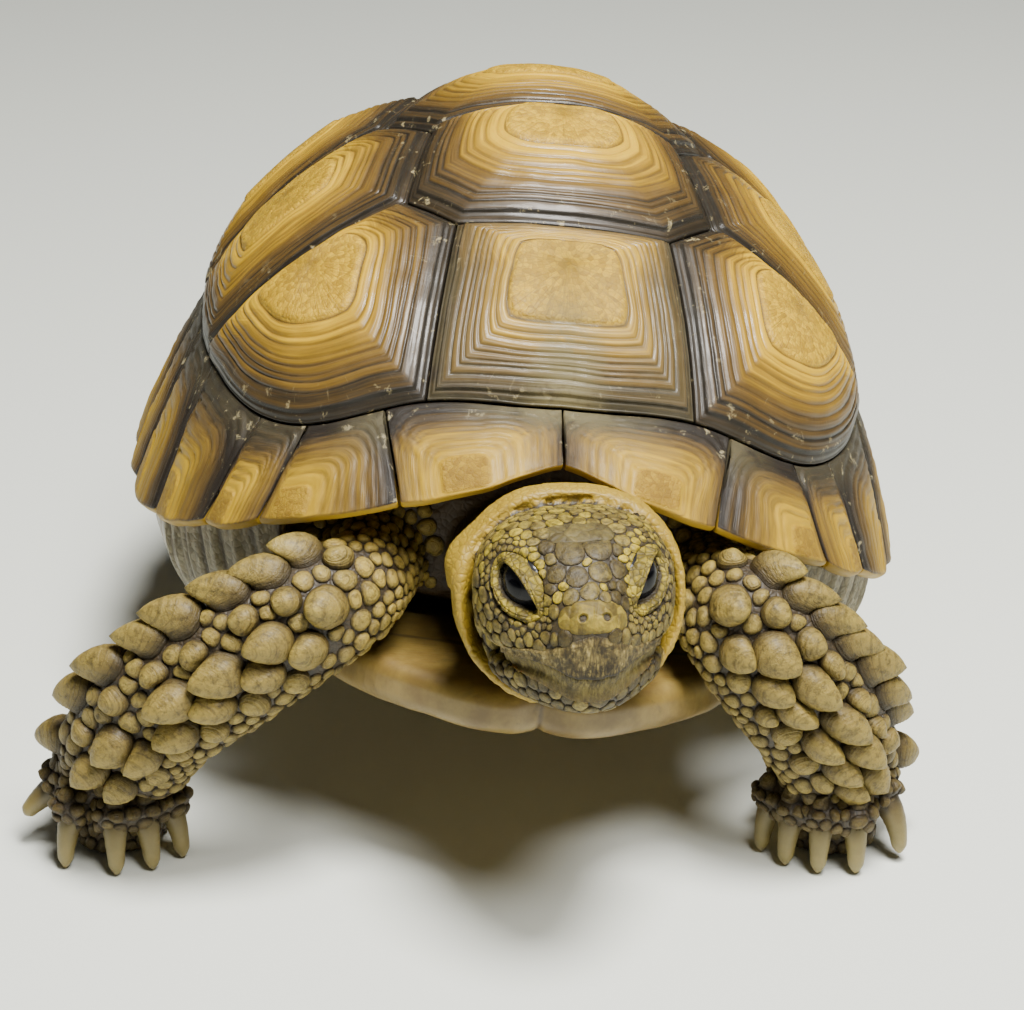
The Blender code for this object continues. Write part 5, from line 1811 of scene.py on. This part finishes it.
def makeClaws():
    horn = makeClawMaterial()
    for name, spec in legForms.items():
        for number, (turn, lift) in enumerate(spec["claws"]):
            makeClaw(f"claw_{name}_{number + 1}", spec, turn, lift, horn)


makeClaws()
print("claws made")


# eyes and lids

eyeLook = {
    "lidSteps": 22, "lidColumns": 72, "lipRound": 0.28, "puff": 0.62, "creases": ((0.32, 0.16), (0.58, 0.13)),
    # how much further out than the ball the lids meet at the back and the front corner
    "cornerLift": (0.5, 1.5),
    "iris": ((0.004, 0.005, 0.008), (0.016, 0.015, 0.016)), "pupil": (0.002, 0.002, 0.003),
    "white": (0.022, 0.022, 0.024),
}


def ballRadius(angle):
    return headForm["eyeRadius"] * (1 + 0.03 * np.exp(-((angle / 0.6) ** 2)))


def makeEyeMaterial():
    make = Recipe("wetEye", 0.2, 0.28, 0.03, 0.08)
    polar, turnX, turnY = make.marks("polar turnX turnY")
    place = make.point(X=turnX * 9.0, Y=turnY * 9.0, Z=polar * 6.0)
    threads = make.noise({"Vector": place, "Scale": 1.0, "Detail": 4.0})
    colour = make.mix(threads, *eyeLook["iris"])
    colour = make.mix(1.0 - make.ease(polar, 0.085, 0.10), colour, eyeLook["pupil"])
    colour = make.mix(make.ease(polar, 0.24, 0.32), colour, eyeLook["white"])
    return make.shade({"Base Color": colour})


def makeEyeballs():
    wet = makeEyeMaterial()
    c, s = circle(48)
    falls = np.linspace(0.05, 3.0, 44)[:, None]
    marks = {"polar": (falls / math.pi, 0.0, 1.0), "turnX": (c[None], 0.0, 0.0), "turnY": (s[None], 0.0, 0.0)}
    for side, name in bothSides:
        centre, gaze, slant, across = eyeFrame(side)
        spokes = c[None, :, None] * slant + s[None, :, None] * across
        ways = np.cos(falls)[..., None] * gaze + np.sin(falls)[..., None] * spokes
        rings = headToWorld(centre + ways * ballRadius(falls)[..., None])
        front = headToWorld(centre + gaze * ballRadius(0.0))
        back = headToWorld(centre - gaze * headForm["eyeRadius"])
        makePiece(f"eye_{name}_ball", ringShape(rings, front, back, marks), wet, "eye", f"eye_{name}")


def castSkin(origin, way):
    # where a ray in the head's own axes meets the skin, in the same axes
    turn = headToWorld(np.array([way, [0, 0, 0]], float))
    hit = skinTree.ray_cast(Vector(headToWorld(origin)), Vector(turn[0] - turn[1]), 60.0)
    return worldToHead(np.array(hit[0]))


def lidShape(side):
    centre, gaze, slant, across = eyeFrame(side)
    c, s = circle(eyeLook["lidColumns"])
    long, wide = headForm["opening"]
    # the opening is an almond, rounder behind and pointed in front
    p = long * c
    q = wide * s * np.abs(s) ** 0.15 * (1 - 0.32 * ((1 - c) / 2) ** 2)
    flat = np.hypot(p, q)
    ball = ballRadius(np.arcsin(np.clip(flat / headForm["eyeRadius"], 0, 0.99)))
    onBall = np.sqrt(np.maximum(ball ** 2 - flat ** 2, 0.4))
    behind, before = eyeLook["cornerLift"]
    lip = onBall + 0.06 + behind * ((1 + c) / 2) ** 3 + before * ((1 - c) / 2) ** 3
    outP, outQ = headForm["lid"][0] * c, headForm["lid"][1] * s
    hits = [castSkin(centre + slant * a + across * b + gaze * 14.0, -gaze) for a, b in zip(outP, outQ)]
    rimDepth = np.array([(hit - centre) @ gaze for hit in hits]) - 0.3
    wayP, wayQ = unit(np.stack([outP - p, outQ - q], axis=-1)).T
    r = eyeLook["lipRound"]
    # rows from the eyeball out over the lid: along, across and out
    rows = [
        (p * 0.9, q * 0.8, onBall.min() - 1.4 + 0 * p), (p * 0.97, q * 0.9, onBall - 0.5), (p, q, lip - 0.05),
        (p + wayP * r * 0.3, q + wayQ * r * 0.3, lip + r * 0.7),
    ]
    topP, topQ, topD = p + wayP * r, q + wayQ * r, lip + r
    wave = 0.03 * noise(np.stack([c * 2, s * 2, 0 * c + side], axis=-1), 1.0, 6)
    for t in np.linspace(0, 1, eyeLook["lidSteps"]):
        share = ease(t, 0.0, 1.0) * 0.5 + t * 0.5
        depth = topD + (rimDepth - topD) * share
        depth = depth + eyeLook["puff"] * math.sin(math.pi * t ** 0.8)
        here = np.stack([topP + (outP - topP) * t, topQ + (outQ - topQ) * t, depth], axis=-1)
        for place, deep in eyeLook["creases"]:
            depth = depth - deep * np.exp(-((t - place - wave) / 0.045) ** 2) * (0.4 + 0.6 * np.abs(s))
        depth = depth + 0.10 * noise(here, 0.75, 7) * math.sin(math.pi * min(t * 1.2, 1))
        rows.append((here[:, 0], here[:, 1], depth))
    rows += [(outP * k, outQ * k, rimDepth.min() - 1.6 + 0 * p) for k in (0.97, 0.5)]
    rings = []
    for a, b, d in rows:
        rings.append(headToWorld(centre + a[:, None] * slant + b[:, None] * across + d[:, None] * gaze))
    ring = np.concatenate([[0, 0, 0.02, 0.05], np.linspace(0.08, 1, eyeLook["lidSteps"]), [1, 1]])[:, None]
    return ringShape(rings, marks={"ring": (ring, 0.0, 1.0)})


def makeHideMaterial(name, look):
    # pebbled hide of the lids and smooth plates of the head, dark where the mark falls to 0
    make = Recipe(name, look["roughness"], look["coat"], 0.25, 0.35, subsurface=0.15)
    mark = make.marks(look["mark"])[0]
    pebble = make.put(pebbleGroup, Size=look["pebble"])
    grain = make.put(grainGroup, Size=look["grain"])
    colour = make.ramp(pebble["Tone"] * 0.45 + grain["Value"] * 0.6, look["stops"])
    colour = make.mix(pebble["Crease"] * look["crease"], colour, look["dark"])
    grime = make.grime(look["grime"], look["cover"], 0.2)
    colour = make.mix(grime * look["dirtiness"], colour, look["dark"])
    edge = 1.0 - make.ease(mark, *look["darkBelow"])
    colour = make.mix(edge * 0.92, colour, look["dark"])
    rough = make.span(grain["Value"], look["roughness"] - 0.1, look["roughness"] + 0.15)
    return make.finish(colour, rough, pebble["Height"] * look["relief"] + grain["Height"], 0.6, 0.00022)


lidLook = {
    "mark": "ring", "darkBelow": (0.02, 0.085), "roughness": 0.58, "coat": 0.02, "pebble": 0.00085,
    "grain": 0.0016,
    "grime": 0.0018, "cover": 0.47, "dirtiness": 0.45, "crease": 0.7, "relief": 1.5,
    "stops": ((0.2, (0.085, 0.062, 0.012)), (0.5, (0.20, 0.148, 0.016)), (0.8, (0.38, 0.285, 0.024))),
    "dark": (0.018, 0.013, 0.008),
}
makeEyeballs()
lidHide = makeHideMaterial("lidHide", lidLook)
for side, name in bothSides:
    makePiece(f"lids_{name}", lidShape(side), lidHide, "head_skin")
print("eyes and lids made")


# beak

beakForm = {
    # angle from straight ahead round the upright line through "axis": heights of the edges
    "axis": np.array([0.0, -3.0, 0.0]),
    "mouth": ((0, 14, 27, 42, 66, 84, 104), (-3.4, -2.9, -2.2, -2.2, -3.1, -3.9, -5.4)),
    "upper": ((0, 16, 30, 46, 66, 84, 104), (2.4, 1.3, -0.1, -0.9, -1.9, -2.8, -4.8)),
    "lower": ((0, 14, 27, 42, 66, 84, 96), (-7.0, -6.6, -5.7, -5.0, -4.9, -5.2, -5.9)),
    "thick": 0.5, "ragged": 0.16, "upperEnd": 103, "lowerEnd": 94,
    # shares of the way down its outer and up its inner side
    "steps": (0, 0.03, 0.1, 0.2, 0.3, 0.4, 0.5, 0.6, 0.7, 0.8, 0.88, 0.94, 0.98, 1.0),
    "inside": (0.97, 0.5, 0.03),
}


def aroundBeak(angle):
    return np.array([math.sin(angle), -math.cos(angle), 0.0])


def skinRadius(angle, height):
    # how far the skin is from the beak's axis
    way = aroundBeak(angle)
    hit = castSkin(beakForm["axis"] + way * 30 + [0, 0, height], -way)
    return math.hypot(hit[0] - beakForm["axis"][0], hit[1] - beakForm["axis"][1])


def beakBand(final, top, low, radiusAt, seed, lipDown):
    # a closed band of horn: loops of outer and inner points at angles from one side round to the other
    angles = np.radians(np.linspace(-final, final, 2 * int(final) + 1))
    steps, inside = beakForm["steps"], beakForm["inside"]
    loops = []
    for angle in angles:
        turn = abs(math.degrees(angle))
        way = aroundBeak(angle)
        ragged = beakForm["ragged"] * float(noise(np.array([[angle * 9, 0.0, 0.0]]), 0.55, seed)[0])
        high = top(turn) + (0 if lipDown else ragged)
        bottom = low(turn) + (ragged if lipDown else 0.4 * ragged)
        taper = float(ease(final - turn, 0, 9))
        loop = []
        for t in steps + inside:
            height = high + (bottom - high) * t
            ridge = 0.11 * float(noise(np.array([[angle * 12, 0.25 * height, 3.0]]), 0.5, seed + 1)[0])
            full = 0.16 + 0.84 * float(ease(t, 0, 0.16))
            rounded = math.sqrt(max(1 - ((t - 0.88) / 0.12) ** 2, 0)) if lipDown and t > 0.88 else 1.0
            out = (beakForm["thick"] * full * (0.25 + 0.75 * rounded) + ridge * full) * taper
            if len(loop) >= len(steps):
                out = -0.55
            loop.append(beakForm["axis"] + way * (radiusAt(angle, height) + out) + [0, 0, height])
        loops.append(headToWorld(np.array(loop)))
    turns = (angles / math.pi)[:, None]
    marks = {"fall": (np.array(steps + inside)[None], 0.5, 0.5), "turn": (turns, turns[0, 0], turns[-1, 0])}
    return ringShape(loops, marks=marks)


def makeBeakMaterial(name, look):
    make = Recipe(name, 0.5, 0.03, 0.3, 0.25, subsurface=0.12)
    fall, turn = make.marks("fall turn")
    place = make.point(X=turn * 34.0, Y=fall * 1.3)
    streak = make.noise({"Vector": place, "Scale": 1.0, "Detail": 4.0, "Roughness": 0.6})
    fine = make.noise({"Vector": place, "Scale": 3.6, "Detail": 3.0, "Roughness": 0.6})
    grain = make.put(grainGroup, Size=0.0022)
    level = streak + (fine - 0.5) * 0.6 + (grain["Value"] - 0.5) * 0.5
    colour = make.ramp(level, look["stops"])
    # the horn darker towards its lower edge; on the upper beak this is painted shade along the mouth line
    colour = make.mix(make.ease(fall, *look["edgeSpan"]) * look["edge"], colour, look["edgeTone"])
    smudge = make.grime(look["smudge"], look["cover"], 0.14)
    colour = make.mix(smudge * look["smudges"], colour, look["dark"])
    # darker along the top edge: painted shade where the horn meets the skin, and on the lower beak along the
    # mouth line
    colour = make.mix((1.0 - make.ease(fall, 0.0, 0.12)) * 0.7, colour, look["dark"])
    # darker in the middle, by the edge
    middleDark = (1.0 - make.ease(abs(turn), 0.04, 0.17)) * make.ease(fall, *look["middleDarkSpan"])
    middleDark = middleDark * make.ease(fine, 0.62, 0.42)
    colour = make.mix(middleDark * look["middleDark"], colour, look["dark"])
    rough = make.span(grain["Value"], 0.45, 0.7)
    return make.finish(colour, rough, fine * 0.9 + grain["Height"], 0.6, 0.0004)


upperBeakLook = {
    "smudge": 0.0016, "cover": 0.49, "smudges": 0.8, "edgeSpan": (0.86, 0.96), "edge": 0.9,
    "middleDarkSpan": (0.45, 0.8), "middleDark": 0.85,
    "stops": (
        (0.25, (0.040, 0.029, 0.012)), (0.45, (0.125, 0.092, 0.032)),
        (0.60, (0.26, 0.195, 0.062)), (0.76, (0.46, 0.36, 0.15)),
    ),
    "edgeTone": (0.016, 0.012, 0.007), "dark": (0.022, 0.016, 0.009),
}
lowerBeakLook = {
    "smudge": 0.002, "cover": 0.44, "smudges": 0.6, "edgeSpan": (0.55, 1.0), "edge": 0.6,
    "middleDarkSpan": (0.6, 0.1), "middleDark": 0.6,
    "stops": (
        (0.25, (0.050, 0.036, 0.011)), (0.45, (0.110, 0.082, 0.021)),
        (0.62, (0.18, 0.137, 0.034)), (0.80, (0.28, 0.22, 0.075)),
    ),
    "edgeTone": (0.10, 0.07, 0.022), "dark": (0.024, 0.017, 0.008),
}


def makeBeak():
    def edge(name):
        return lambda turn: float(curve(turn, *beakForm[name]))

    mouth, upper, lower = edge("mouth"), edge("upper"), edge("lower")

    def overLip(angle, height):
        return skinRadius(angle, max(height, mouth(abs(math.degrees(angle))) + 0.7))

    def overJaw(angle, height):
        # the jaw's horn stands close behind the upper beak's edge
        line = mouth(abs(math.degrees(angle)))
        behind = skinRadius(angle, line + 0.7) - 0.3 - 0.35 * (line - height)
        return max(skinRadius(angle, min(height, line - 1.1)), behind)

    horn = makeBeakMaterial("upperBeak", upperBeakLook)
    band = beakBand(beakForm["upperEnd"], upper, lambda turn: mouth(turn) - 0.2, overLip, 31, True)
    makePiece("beak_upper", band, horn, "head_skin")
    horn = makeBeakMaterial("lowerBeak", lowerBeakLook)
    band = beakBand(beakForm["lowerEnd"], lambda turn: mouth(turn) + 0.1, lower, overJaw, 41, False)
    makePiece("beak_lower", band, horn, "head_skin")


makeBeak()
print("beak made")


# plates and scales of the head

noseForm = {
    # place, outward way, half width and height, squareness, dome
    "place": np.array([0.2, -13.0, 4.4]), "way": np.array([0.0, -0.75, 0.66]), "half": (4.3, 2.15),
    "power": 2.5,
    "dome": 0.32, "nostril": (1.45, -0.25, 0.42, 1.0), "creases": (-2.9, 0.0, 2.9),
    "mark": "depth", "darkBelow": (0.25, 0.75), "roughness": 0.6, "coat": 0.02, "pebble": 0.0013,
    "grain": 0.0014,
    "grime": 0.0014, "cover": 0.47, "dirtiness": 0.5, "crease": 0.12, "relief": 0.35,
    "stops": ((0.2, (0.09, 0.064, 0.012)), (0.5, (0.18, 0.130, 0.018)), (0.8, (0.31, 0.23, 0.032))),
    "dark": (0.022, 0.015, 0.008),
}
browForm = {
    "place": np.array([0.1, -1.9, 10.2]), "way": np.array([0.0, -0.12, 1.0]), "half": (4.3, 2.1),
    "power": 3.2,
    "dome": 0.35, "nostril": None, "creases": (),
    "mark": "depth", "darkBelow": (0.25, 0.75), "roughness": 0.6, "coat": 0.02, "pebble": 0.0014,
    "grain": 0.0016,
    "grime": 0.0016, "cover": 0.45, "dirtiness": 0.6, "crease": 0.2, "relief": 0.6,
    "stops": ((0.2, (0.055, 0.041, 0.014)), (0.5, (0.105, 0.081, 0.024)), (0.8, (0.17, 0.132, 0.038))),
    "dark": (0.022, 0.016, 0.008),
}


def facePlate(form):
    # one broad smooth plate laid on the skin, domed, with its edge sunk; nostrils as pits
    way = unit(form["way"])
    across = sideways
    up = np.cross(way, across)
    up = up * np.sign(up[2] if abs(up[2]) > abs(up[1]) else up[1])
    c, s = circle(96)
    outline = np.stack([squared(c, form["power"]), squared(s, form["power"])], axis=-1) * form["half"]
    ragged = noise(np.concatenate([outline, outline[:, :1] * 0], axis=1), 1.3, 5)
    outline = outline * (1 + 0.04 * ragged)[:, None]
    rings, depths = [], []
    foot = ((1.0, -0.6), (1.0, 0.1), (0.97, 0.55), (0.93, 0.75))
    for share, rise in (*foot, *[(k, 1.0) for k in np.linspace(0.88, 0.04, 22)]):
        ring, deep = [], []
        for a, b in outline * share:
            hit = castSkin(form["place"] + across * a + up * b + way * 9.0, -way)
            height = form["dome"] * rise * (0.65 + 0.35 * (1 - share ** 2)) if rise > 0 else rise
            pit = 0.0
            if form["nostril"]:
                x, y, size, deepness = form["nostril"]
                far = math.hypot(abs(a) - x, b - y) / size
                pit = math.exp(-far ** 4)
                height += 0.14 * math.exp(-((far - 1.5) / 0.45) ** 2) - deepness * pit
            for x in form["creases"]:
                height -= 0.13 * math.exp(-((a - x - 0.2 * b) / 0.16) ** 2) * (rise > 0)
            ring.append(hit + way * height)
            deep.append(1 - pit)
        rings.append(headToWorld(np.array(ring)))
        depths.append(np.array(deep) * (0.0 if rise < 0.2 else 1.0))
    return ringShape(rings, marks={"depth": (np.array(depths), 0.0, 1.0)})


makePiece("nose_plate", facePlate(noseForm), makeHideMaterial("noseHorn", noseForm), "head_skin")
makePiece("brow_plate", facePlate(browForm), makeHideMaterial("browHorn", browForm), "head_skin")

headScales = {
    # broad scales listed on the snout and at the corners of the mouth: place, size, height, tint
    "large": (
        ((1.8, -5.0, 11.0), 1.85, 0.2, 0.12), ((-1.5, -5.3, 11.0), 1.95, 0.22, 0.16),
        ((1.7, -7.9, 10.0), 1.6, 0.2, 0.2), ((-1.2, -8.3, 10.0), 1.5, 0.2, 0.05),
        ((-3.5, -7.3, 10.0), 1.25, 0.2, 0.1), ((3.9, -7.0, 10.0), 1.2, 0.2, 0.1),
        ((0.3, -10.2, 9.0), 1.1, 0.2, 0.3),
    ),
    "mouth": (
        ((9.6, -1.6, -3.9), 1.25, 0.5, 0.75), ((9.6, 0.4, -5.0), 1.2, 0.5, 0.65),
        ((9.6, -2.0, -6.6), 1.1, 0.45, 0.6),
        ((9.6, 0.2, -7.5), 1.2, 0.45, 0.5), ((9.6, -0.6, -1.5), 1.15, 0.45, 0.7),
    ),
    "crown": 0.82, "cheek": 1.1, "chin": 0.8, "snout": 0.72, "granule": 0.46,
    "look": {"gap": 0.045, "spread": 1.6, "sunk": 0.55, "sides": (14, 14, 26, 26)},
    "material": {
        "roughness": 0.5, "coat": 0.05, "grain": 0.0011, "grime": 0.0013, "cover": 0.5, "dirtiness": 0.7,
        "lines": 0.12, "lineCount": 5.0, "footDark": 0.7,
        "stops": (
            (0.0, (0.078, 0.055, 0.016)), (0.35, (0.16, 0.117, 0.026)),
            (0.75, (0.28, 0.21, 0.042)), (1.0, (0.37, 0.29, 0.065)),
        ),
        "other": (0.12, 0.090, 0.028), "yellow": (0.56, 0.42, 0.025), "dark": (0.040, 0.028, 0.011),
        "dirt": (0.018, 0.0125, 0.007),
    },
}


def headTurn(local):
    return np.degrees(np.abs(np.arctan2(local[:, 0], -(local[:, 1] - beakForm["axis"][1]))))


def onPlate(form, local, margin):
    way = unit(form["way"])
    off = local - form["place"]
    across = off[:, 0]
    up = np.linalg.norm(off - np.outer(off @ way, way) - np.outer(across, [1, 0, 0]), axis=1)
    wide, tall = form["half"][0] + margin, form["half"][1] + margin
    return ((np.abs(across) / wide) ** 2.8 + (up / tall) ** 2.8 < 1) & (np.abs(off @ way) < 3.5)


def bareHead(local):
    # places no scale grows on: lids, horn, smooth plates, and what the collar hides
    bare = onPlate(noseForm, local, 0.35) | onPlate(browForm, local, 0.35)
    for side in (-1, 1):
        bare |= eyeReach(local, side)[0] < 1.02
    turn = headTurn(local)
    mouth, upper, lower = [curve(turn, *beakForm[name]) for name in ("mouth", "upper", "lower")]
    bare |= (turn < beakForm["upperEnd"]) & (local[:, 2] < upper + 0.25) & (local[:, 2] > mouth - 0.6)
    bare |= (turn < beakForm["lowerEnd"]) & (local[:, 2] <= mouth) & (local[:, 2] > lower - 0.35)
    return bare | (local[:, 1] > headForm["collarEdge"])


def dressHead():
    rng = np.random.default_rng(77)
    points = skinPoints[skinRegion["head"] | skinRegion["jaw"]]
    local = worldToHead(points)
    free = ~bareHead(local)
    points, local = points[free], local[free]
    x, y, z = np.abs(local[:, 0]), local[:, 1], local[:, 2]
    nearEye = np.minimum(eyeReach(local, 1)[0], eyeReach(local, -1)[0])
    sizes = np.full(len(points), headScales["crown"])
    sizes = np.where((z < 4.5) & (y > -3.5), headScales["cheek"], sizes)
    sizes = np.where(z < -5.6, headScales["chin"], sizes)
    sizes = np.where((y < -7) & (z > -3), headScales["snout"], sizes)
    sizes = np.where(nearEye < 1.35, headScales["granule"], sizes)
    sizes = np.where((x < 5) & (y < -3.6) & (z > 3), headScales["crown"] * 0.85, sizes)
    sizes = np.where(y > 3.0, np.minimum(sizes, 0.72), sizes) * rng.uniform(0.82, 1.2, len(points))
    big = []
    for (a, b, c), *rest in headScales["large"]:
        big.append((castSkin(np.array([a, b, c + 8.0]), np.array([0, 0, -1.0])), *rest))
    for (a, b, c), *rest in headScales["mouth"]:
        for side in (-1, 1):
            near = snapToSkin(headToWorld(np.array([[side * a, b, c]])))[0]
            big.append((worldToHead(near)[0], *rest))
    taken = headToWorld(np.array([spot[0] for spot in big]))
    takenSizes = np.array([spot[1] for spot in big])
    spots, radii = plantScales(points, sizes, taken, takenSizes, 12000, rng)
    home = worldToHead(spots)
    within = searchTree(points)
    keep = ~bareHead(home) & np.array([within.find(p)[2] < 0.6 for p in spots])
    keep[:len(taken)] = True
    spots, radii, home = spots[keep], radii[keep], home[keep]
    side, y, z = np.abs(home[:, 0]), home[:, 1], home[:, 2]
    kinds = np.where(radii < 0.6, 1, 0)
    crown = (z > 5) & (y > -3.6)
    heights = (0.16 + 0.24 * radii) * np.where(crown, 0.7, 1.0)
    heights[:len(taken)] = [spot[2] for spot in big]
    granule = radii < 0.62
    tints = np.where(crown, 0.62, 0.5)
    tints = np.where(granule, np.where((z > 3.5) & (side < 8), 0.98, 0.52), tints)
    tints = np.where((side < 4.5) & (y < -3.6) & ~granule, 0.15, tints)
    tints = np.where(z < -5.6, 0.22, tints)
    tints = np.clip(tints + rng.uniform(-0.22, 0.22, len(spots)), 0, 1)
    tints[:len(taken)] = [spot[3] for spot in big]
    kinds[:len(taken)] = 0
    turn = np.arctan2(home[:, 0], z)
    coat = {
        "spots": spots, "radii": radii, "heights": heights, "reaches": 0 * radii, "kinds": kinds,
        "tints": tints, "ways": np.tile([0.0, 1.0, 0.0], (len(spots), 1)),
        "roots": np.stack([turn / (2 * math.pi) * 0.97 + 0.5, 0.02 + 0.9 * (y + 15) / 27], axis=-1),
    }
    horn = makeScaleMaterial("headScale", headScales["material"])
    scaleCoat("scales_head", coat, horn, "head_skin", headScales["look"])


dressHead()


def dressTail():
    rng = np.random.default_rng(91)
    points = skinPoints[skinRegion["tail"] & (skinPoints[:, 1] > tailForm["bareTo"])]
    sizes = tailForm["scaleSize"] * (1.15 - 0.5 * ease(points[:, 1], 52, 63))
    sizes = sizes * rng.uniform(0.85, 1.15, len(points))
    spots, radii = plantScales(points, sizes, np.zeros((0, 3)), np.zeros(0), 3000, rng)
    around = np.arctan2(spots[:, 0] - 2.0, spots[:, 2] - 20.0) / (2 * math.pi)
    coat = {
        "spots": spots, "radii": radii, "heights": 0.2 + 0.25 * radii, "reaches": 0.3 * radii,
        "kinds": np.ones(len(spots), int), "ways": np.tile([0.1, 0.7, -0.7], (len(spots), 1)),
        "tints": np.full(len(spots), 0.55) + rng.uniform(-0.2, 0.2, len(spots)),
        "roots": np.stack([around * 0.97 + 0.5, 0.02 + 0.95 * (spots[:, 1] - 48) / 17], axis=-1),
    }
    scaleCoat("scales_tail", coat, legHorn, "leg_skin", legScales["look"])


dressTail()
print("head and tail scaled")


# folded skin under the rim, in front of the bridge

foldedSkin = {
    # angles from the front, how far inside the rim it hangs at its top and bottom, how far down, how thick
    "angles": (33.0, 79.0), "top": 2.4, "bottom": 6.2, "drop": 12.0, "thick": 1.0,
    "look": {
        # painted shade: the hollows between the folds, where the crest mark is low, are darkened
        "mark": "crest", "darkBelow": (0.0, 0.5), "roughness": 0.55, "coat": 0.05, "pebble": 0.0009,
        "grain": 0.002,
        "grime": 0.003, "cover": 0.45, "dirtiness": 0.35, "crease": 0.2, "relief": 0.5,
        "stops": ((0.2, (0.15, 0.125, 0.07)), (0.5, (0.25, 0.215, 0.125)), (0.8, (0.34, 0.30, 0.185))),
        "dark": (0.05, 0.036, 0.018),
    },
}


def foldedShape(side):
    first, last = foldedSkin["angles"]
    drop = np.linspace(0, 1, 12)
    loops, crests = [], []
    for degrees in np.linspace(first, last, 96):
        rim = rimPoint(degrees)
        inward = unit((shell["centre"] - rim) * [1, 1, 0])
        top = rim + inward * foldedSkin["top"] + [0, 0, 0.8]
        # shorter and shorter along the bridge, until it ends under the rim
        short = 1 - 0.85 * float(ease(degrees, 57.0, last - 1.0))
        bottom = rim + inward * foldedSkin["bottom"] - [0, 0, foldedSkin["drop"] * short]
        turn = degrees + 0 * drop + 1.5 * np.sin(drop * 2.6)
        wave = 0.6 * np.sin(turn * 1.25) + 0.4 * np.sin(turn * 2.9 + 1.0)
        fade = float(ease(min(degrees - first, last - degrees), 0, 3.0))
        out = (0.55 * wave * fade + 1.4) * short * np.sin(math.pi * np.clip(drop * 0.92 + 0.04, 0, 1))
        line = top + (bottom - top) * drop[:, None] - inward * out[:, None]
        back = line[::-1] + inward * foldedSkin["thick"]
        loops.append(np.concatenate([line, back]))
        # the crest mark is low in the hollows between the folds, which the material darkens as painted shade
        crests.append(np.concatenate([0.5 + 0.5 * wave, np.ones(len(drop))]))
    marks = {"crest": (np.array(crests), 1.0, 1.0)}
    return ringShape(shellToWorld(np.array(loops) * [side, 1, 1]), marks=marks)


foldedHide = makeHideMaterial("foldedSkin", foldedSkin["look"])
for side, word in bothSides:
    makePiece(f"folds_{word}", foldedShape(side), foldedHide, "inner_skin")
print("folded skin made")


# floor, light and camera

stageSet = {
    "floor": (0.80, 0.83, 0.76), "sky": (0.80, 0.82, 0.84), "skyStrength": 0.05,
    # area lights: place, size, power and colour
    "lamps": (
        ("top", (0.10, -0.19, 0.72), 0.24, 12.0, (1.0, 0.98, 0.94)),
        ("front", (0.18, -0.45, 0.72), 0.24, 5.0, (1.0, 0.98, 0.95)),
    ),
    "cameraPlace": (-0.01978, -0.38089, 0.20139), "cameraTarget": (0.00726, 0.0117, 0.02807),
    "lens": 100.8984375, "sensor": 36.0,
}


def lookAt(thing, target):
    thing.rotation_euler = (Vector(target) - thing.location).to_track_quat("-Z", "Y").to_euler()


def makeStage():
    make = Recipe("floorPaint", 0.55)
    cloud = make.noise({"Scale": 3.0, "Detail": 3.0})
    colour = make.tinted(stageSet["floor"], make.span(cloud, 0.98, 1.02))
    mesh = bpy.data.meshes.new("floor")
    mesh.from_pydata([(-3, -3, 0), (3, -3, 0), (3, 3, 0), (-3, 3, 0)], [], [(0, 1, 2, 3)])
    mesh.materials.append(make.shade({"Base Color": colour}))
    addObject("floor", mesh)
    for name, place, size, power, colour in stageSet["lamps"]:
        lamp = bpy.data.lights.new(name, "AREA")
        lamp.shape = "DISK"
        lamp.size = size
        lamp.energy = power
        lamp.color = colour
        holder = addObject(name, lamp)
        holder.location = place
        lookAt(holder, (0, 0, 0.03))
    world = bpy.data.worlds.new("softSky")
    world.use_nodes = True
    sky = world.node_tree.nodes["Background"].inputs
    sky[0].default_value = (*stageSet["sky"], 1)
    sky[1].default_value = stageSet["skyStrength"]
    bpy.context.scene.world = world
    lens = bpy.data.cameras.new("camera")
    lens.sensor_width = stageSet["sensor"]
    lens.lens = stageSet["lens"]
    lens.clip_start = 0.01
    camera = addObject("camera", lens)
    camera.location = stageSet["cameraPlace"]
    lookAt(camera, stageSet["cameraTarget"])
    bpy.context.scene.camera = camera


makeStage()
print("floor, lights and camera set")
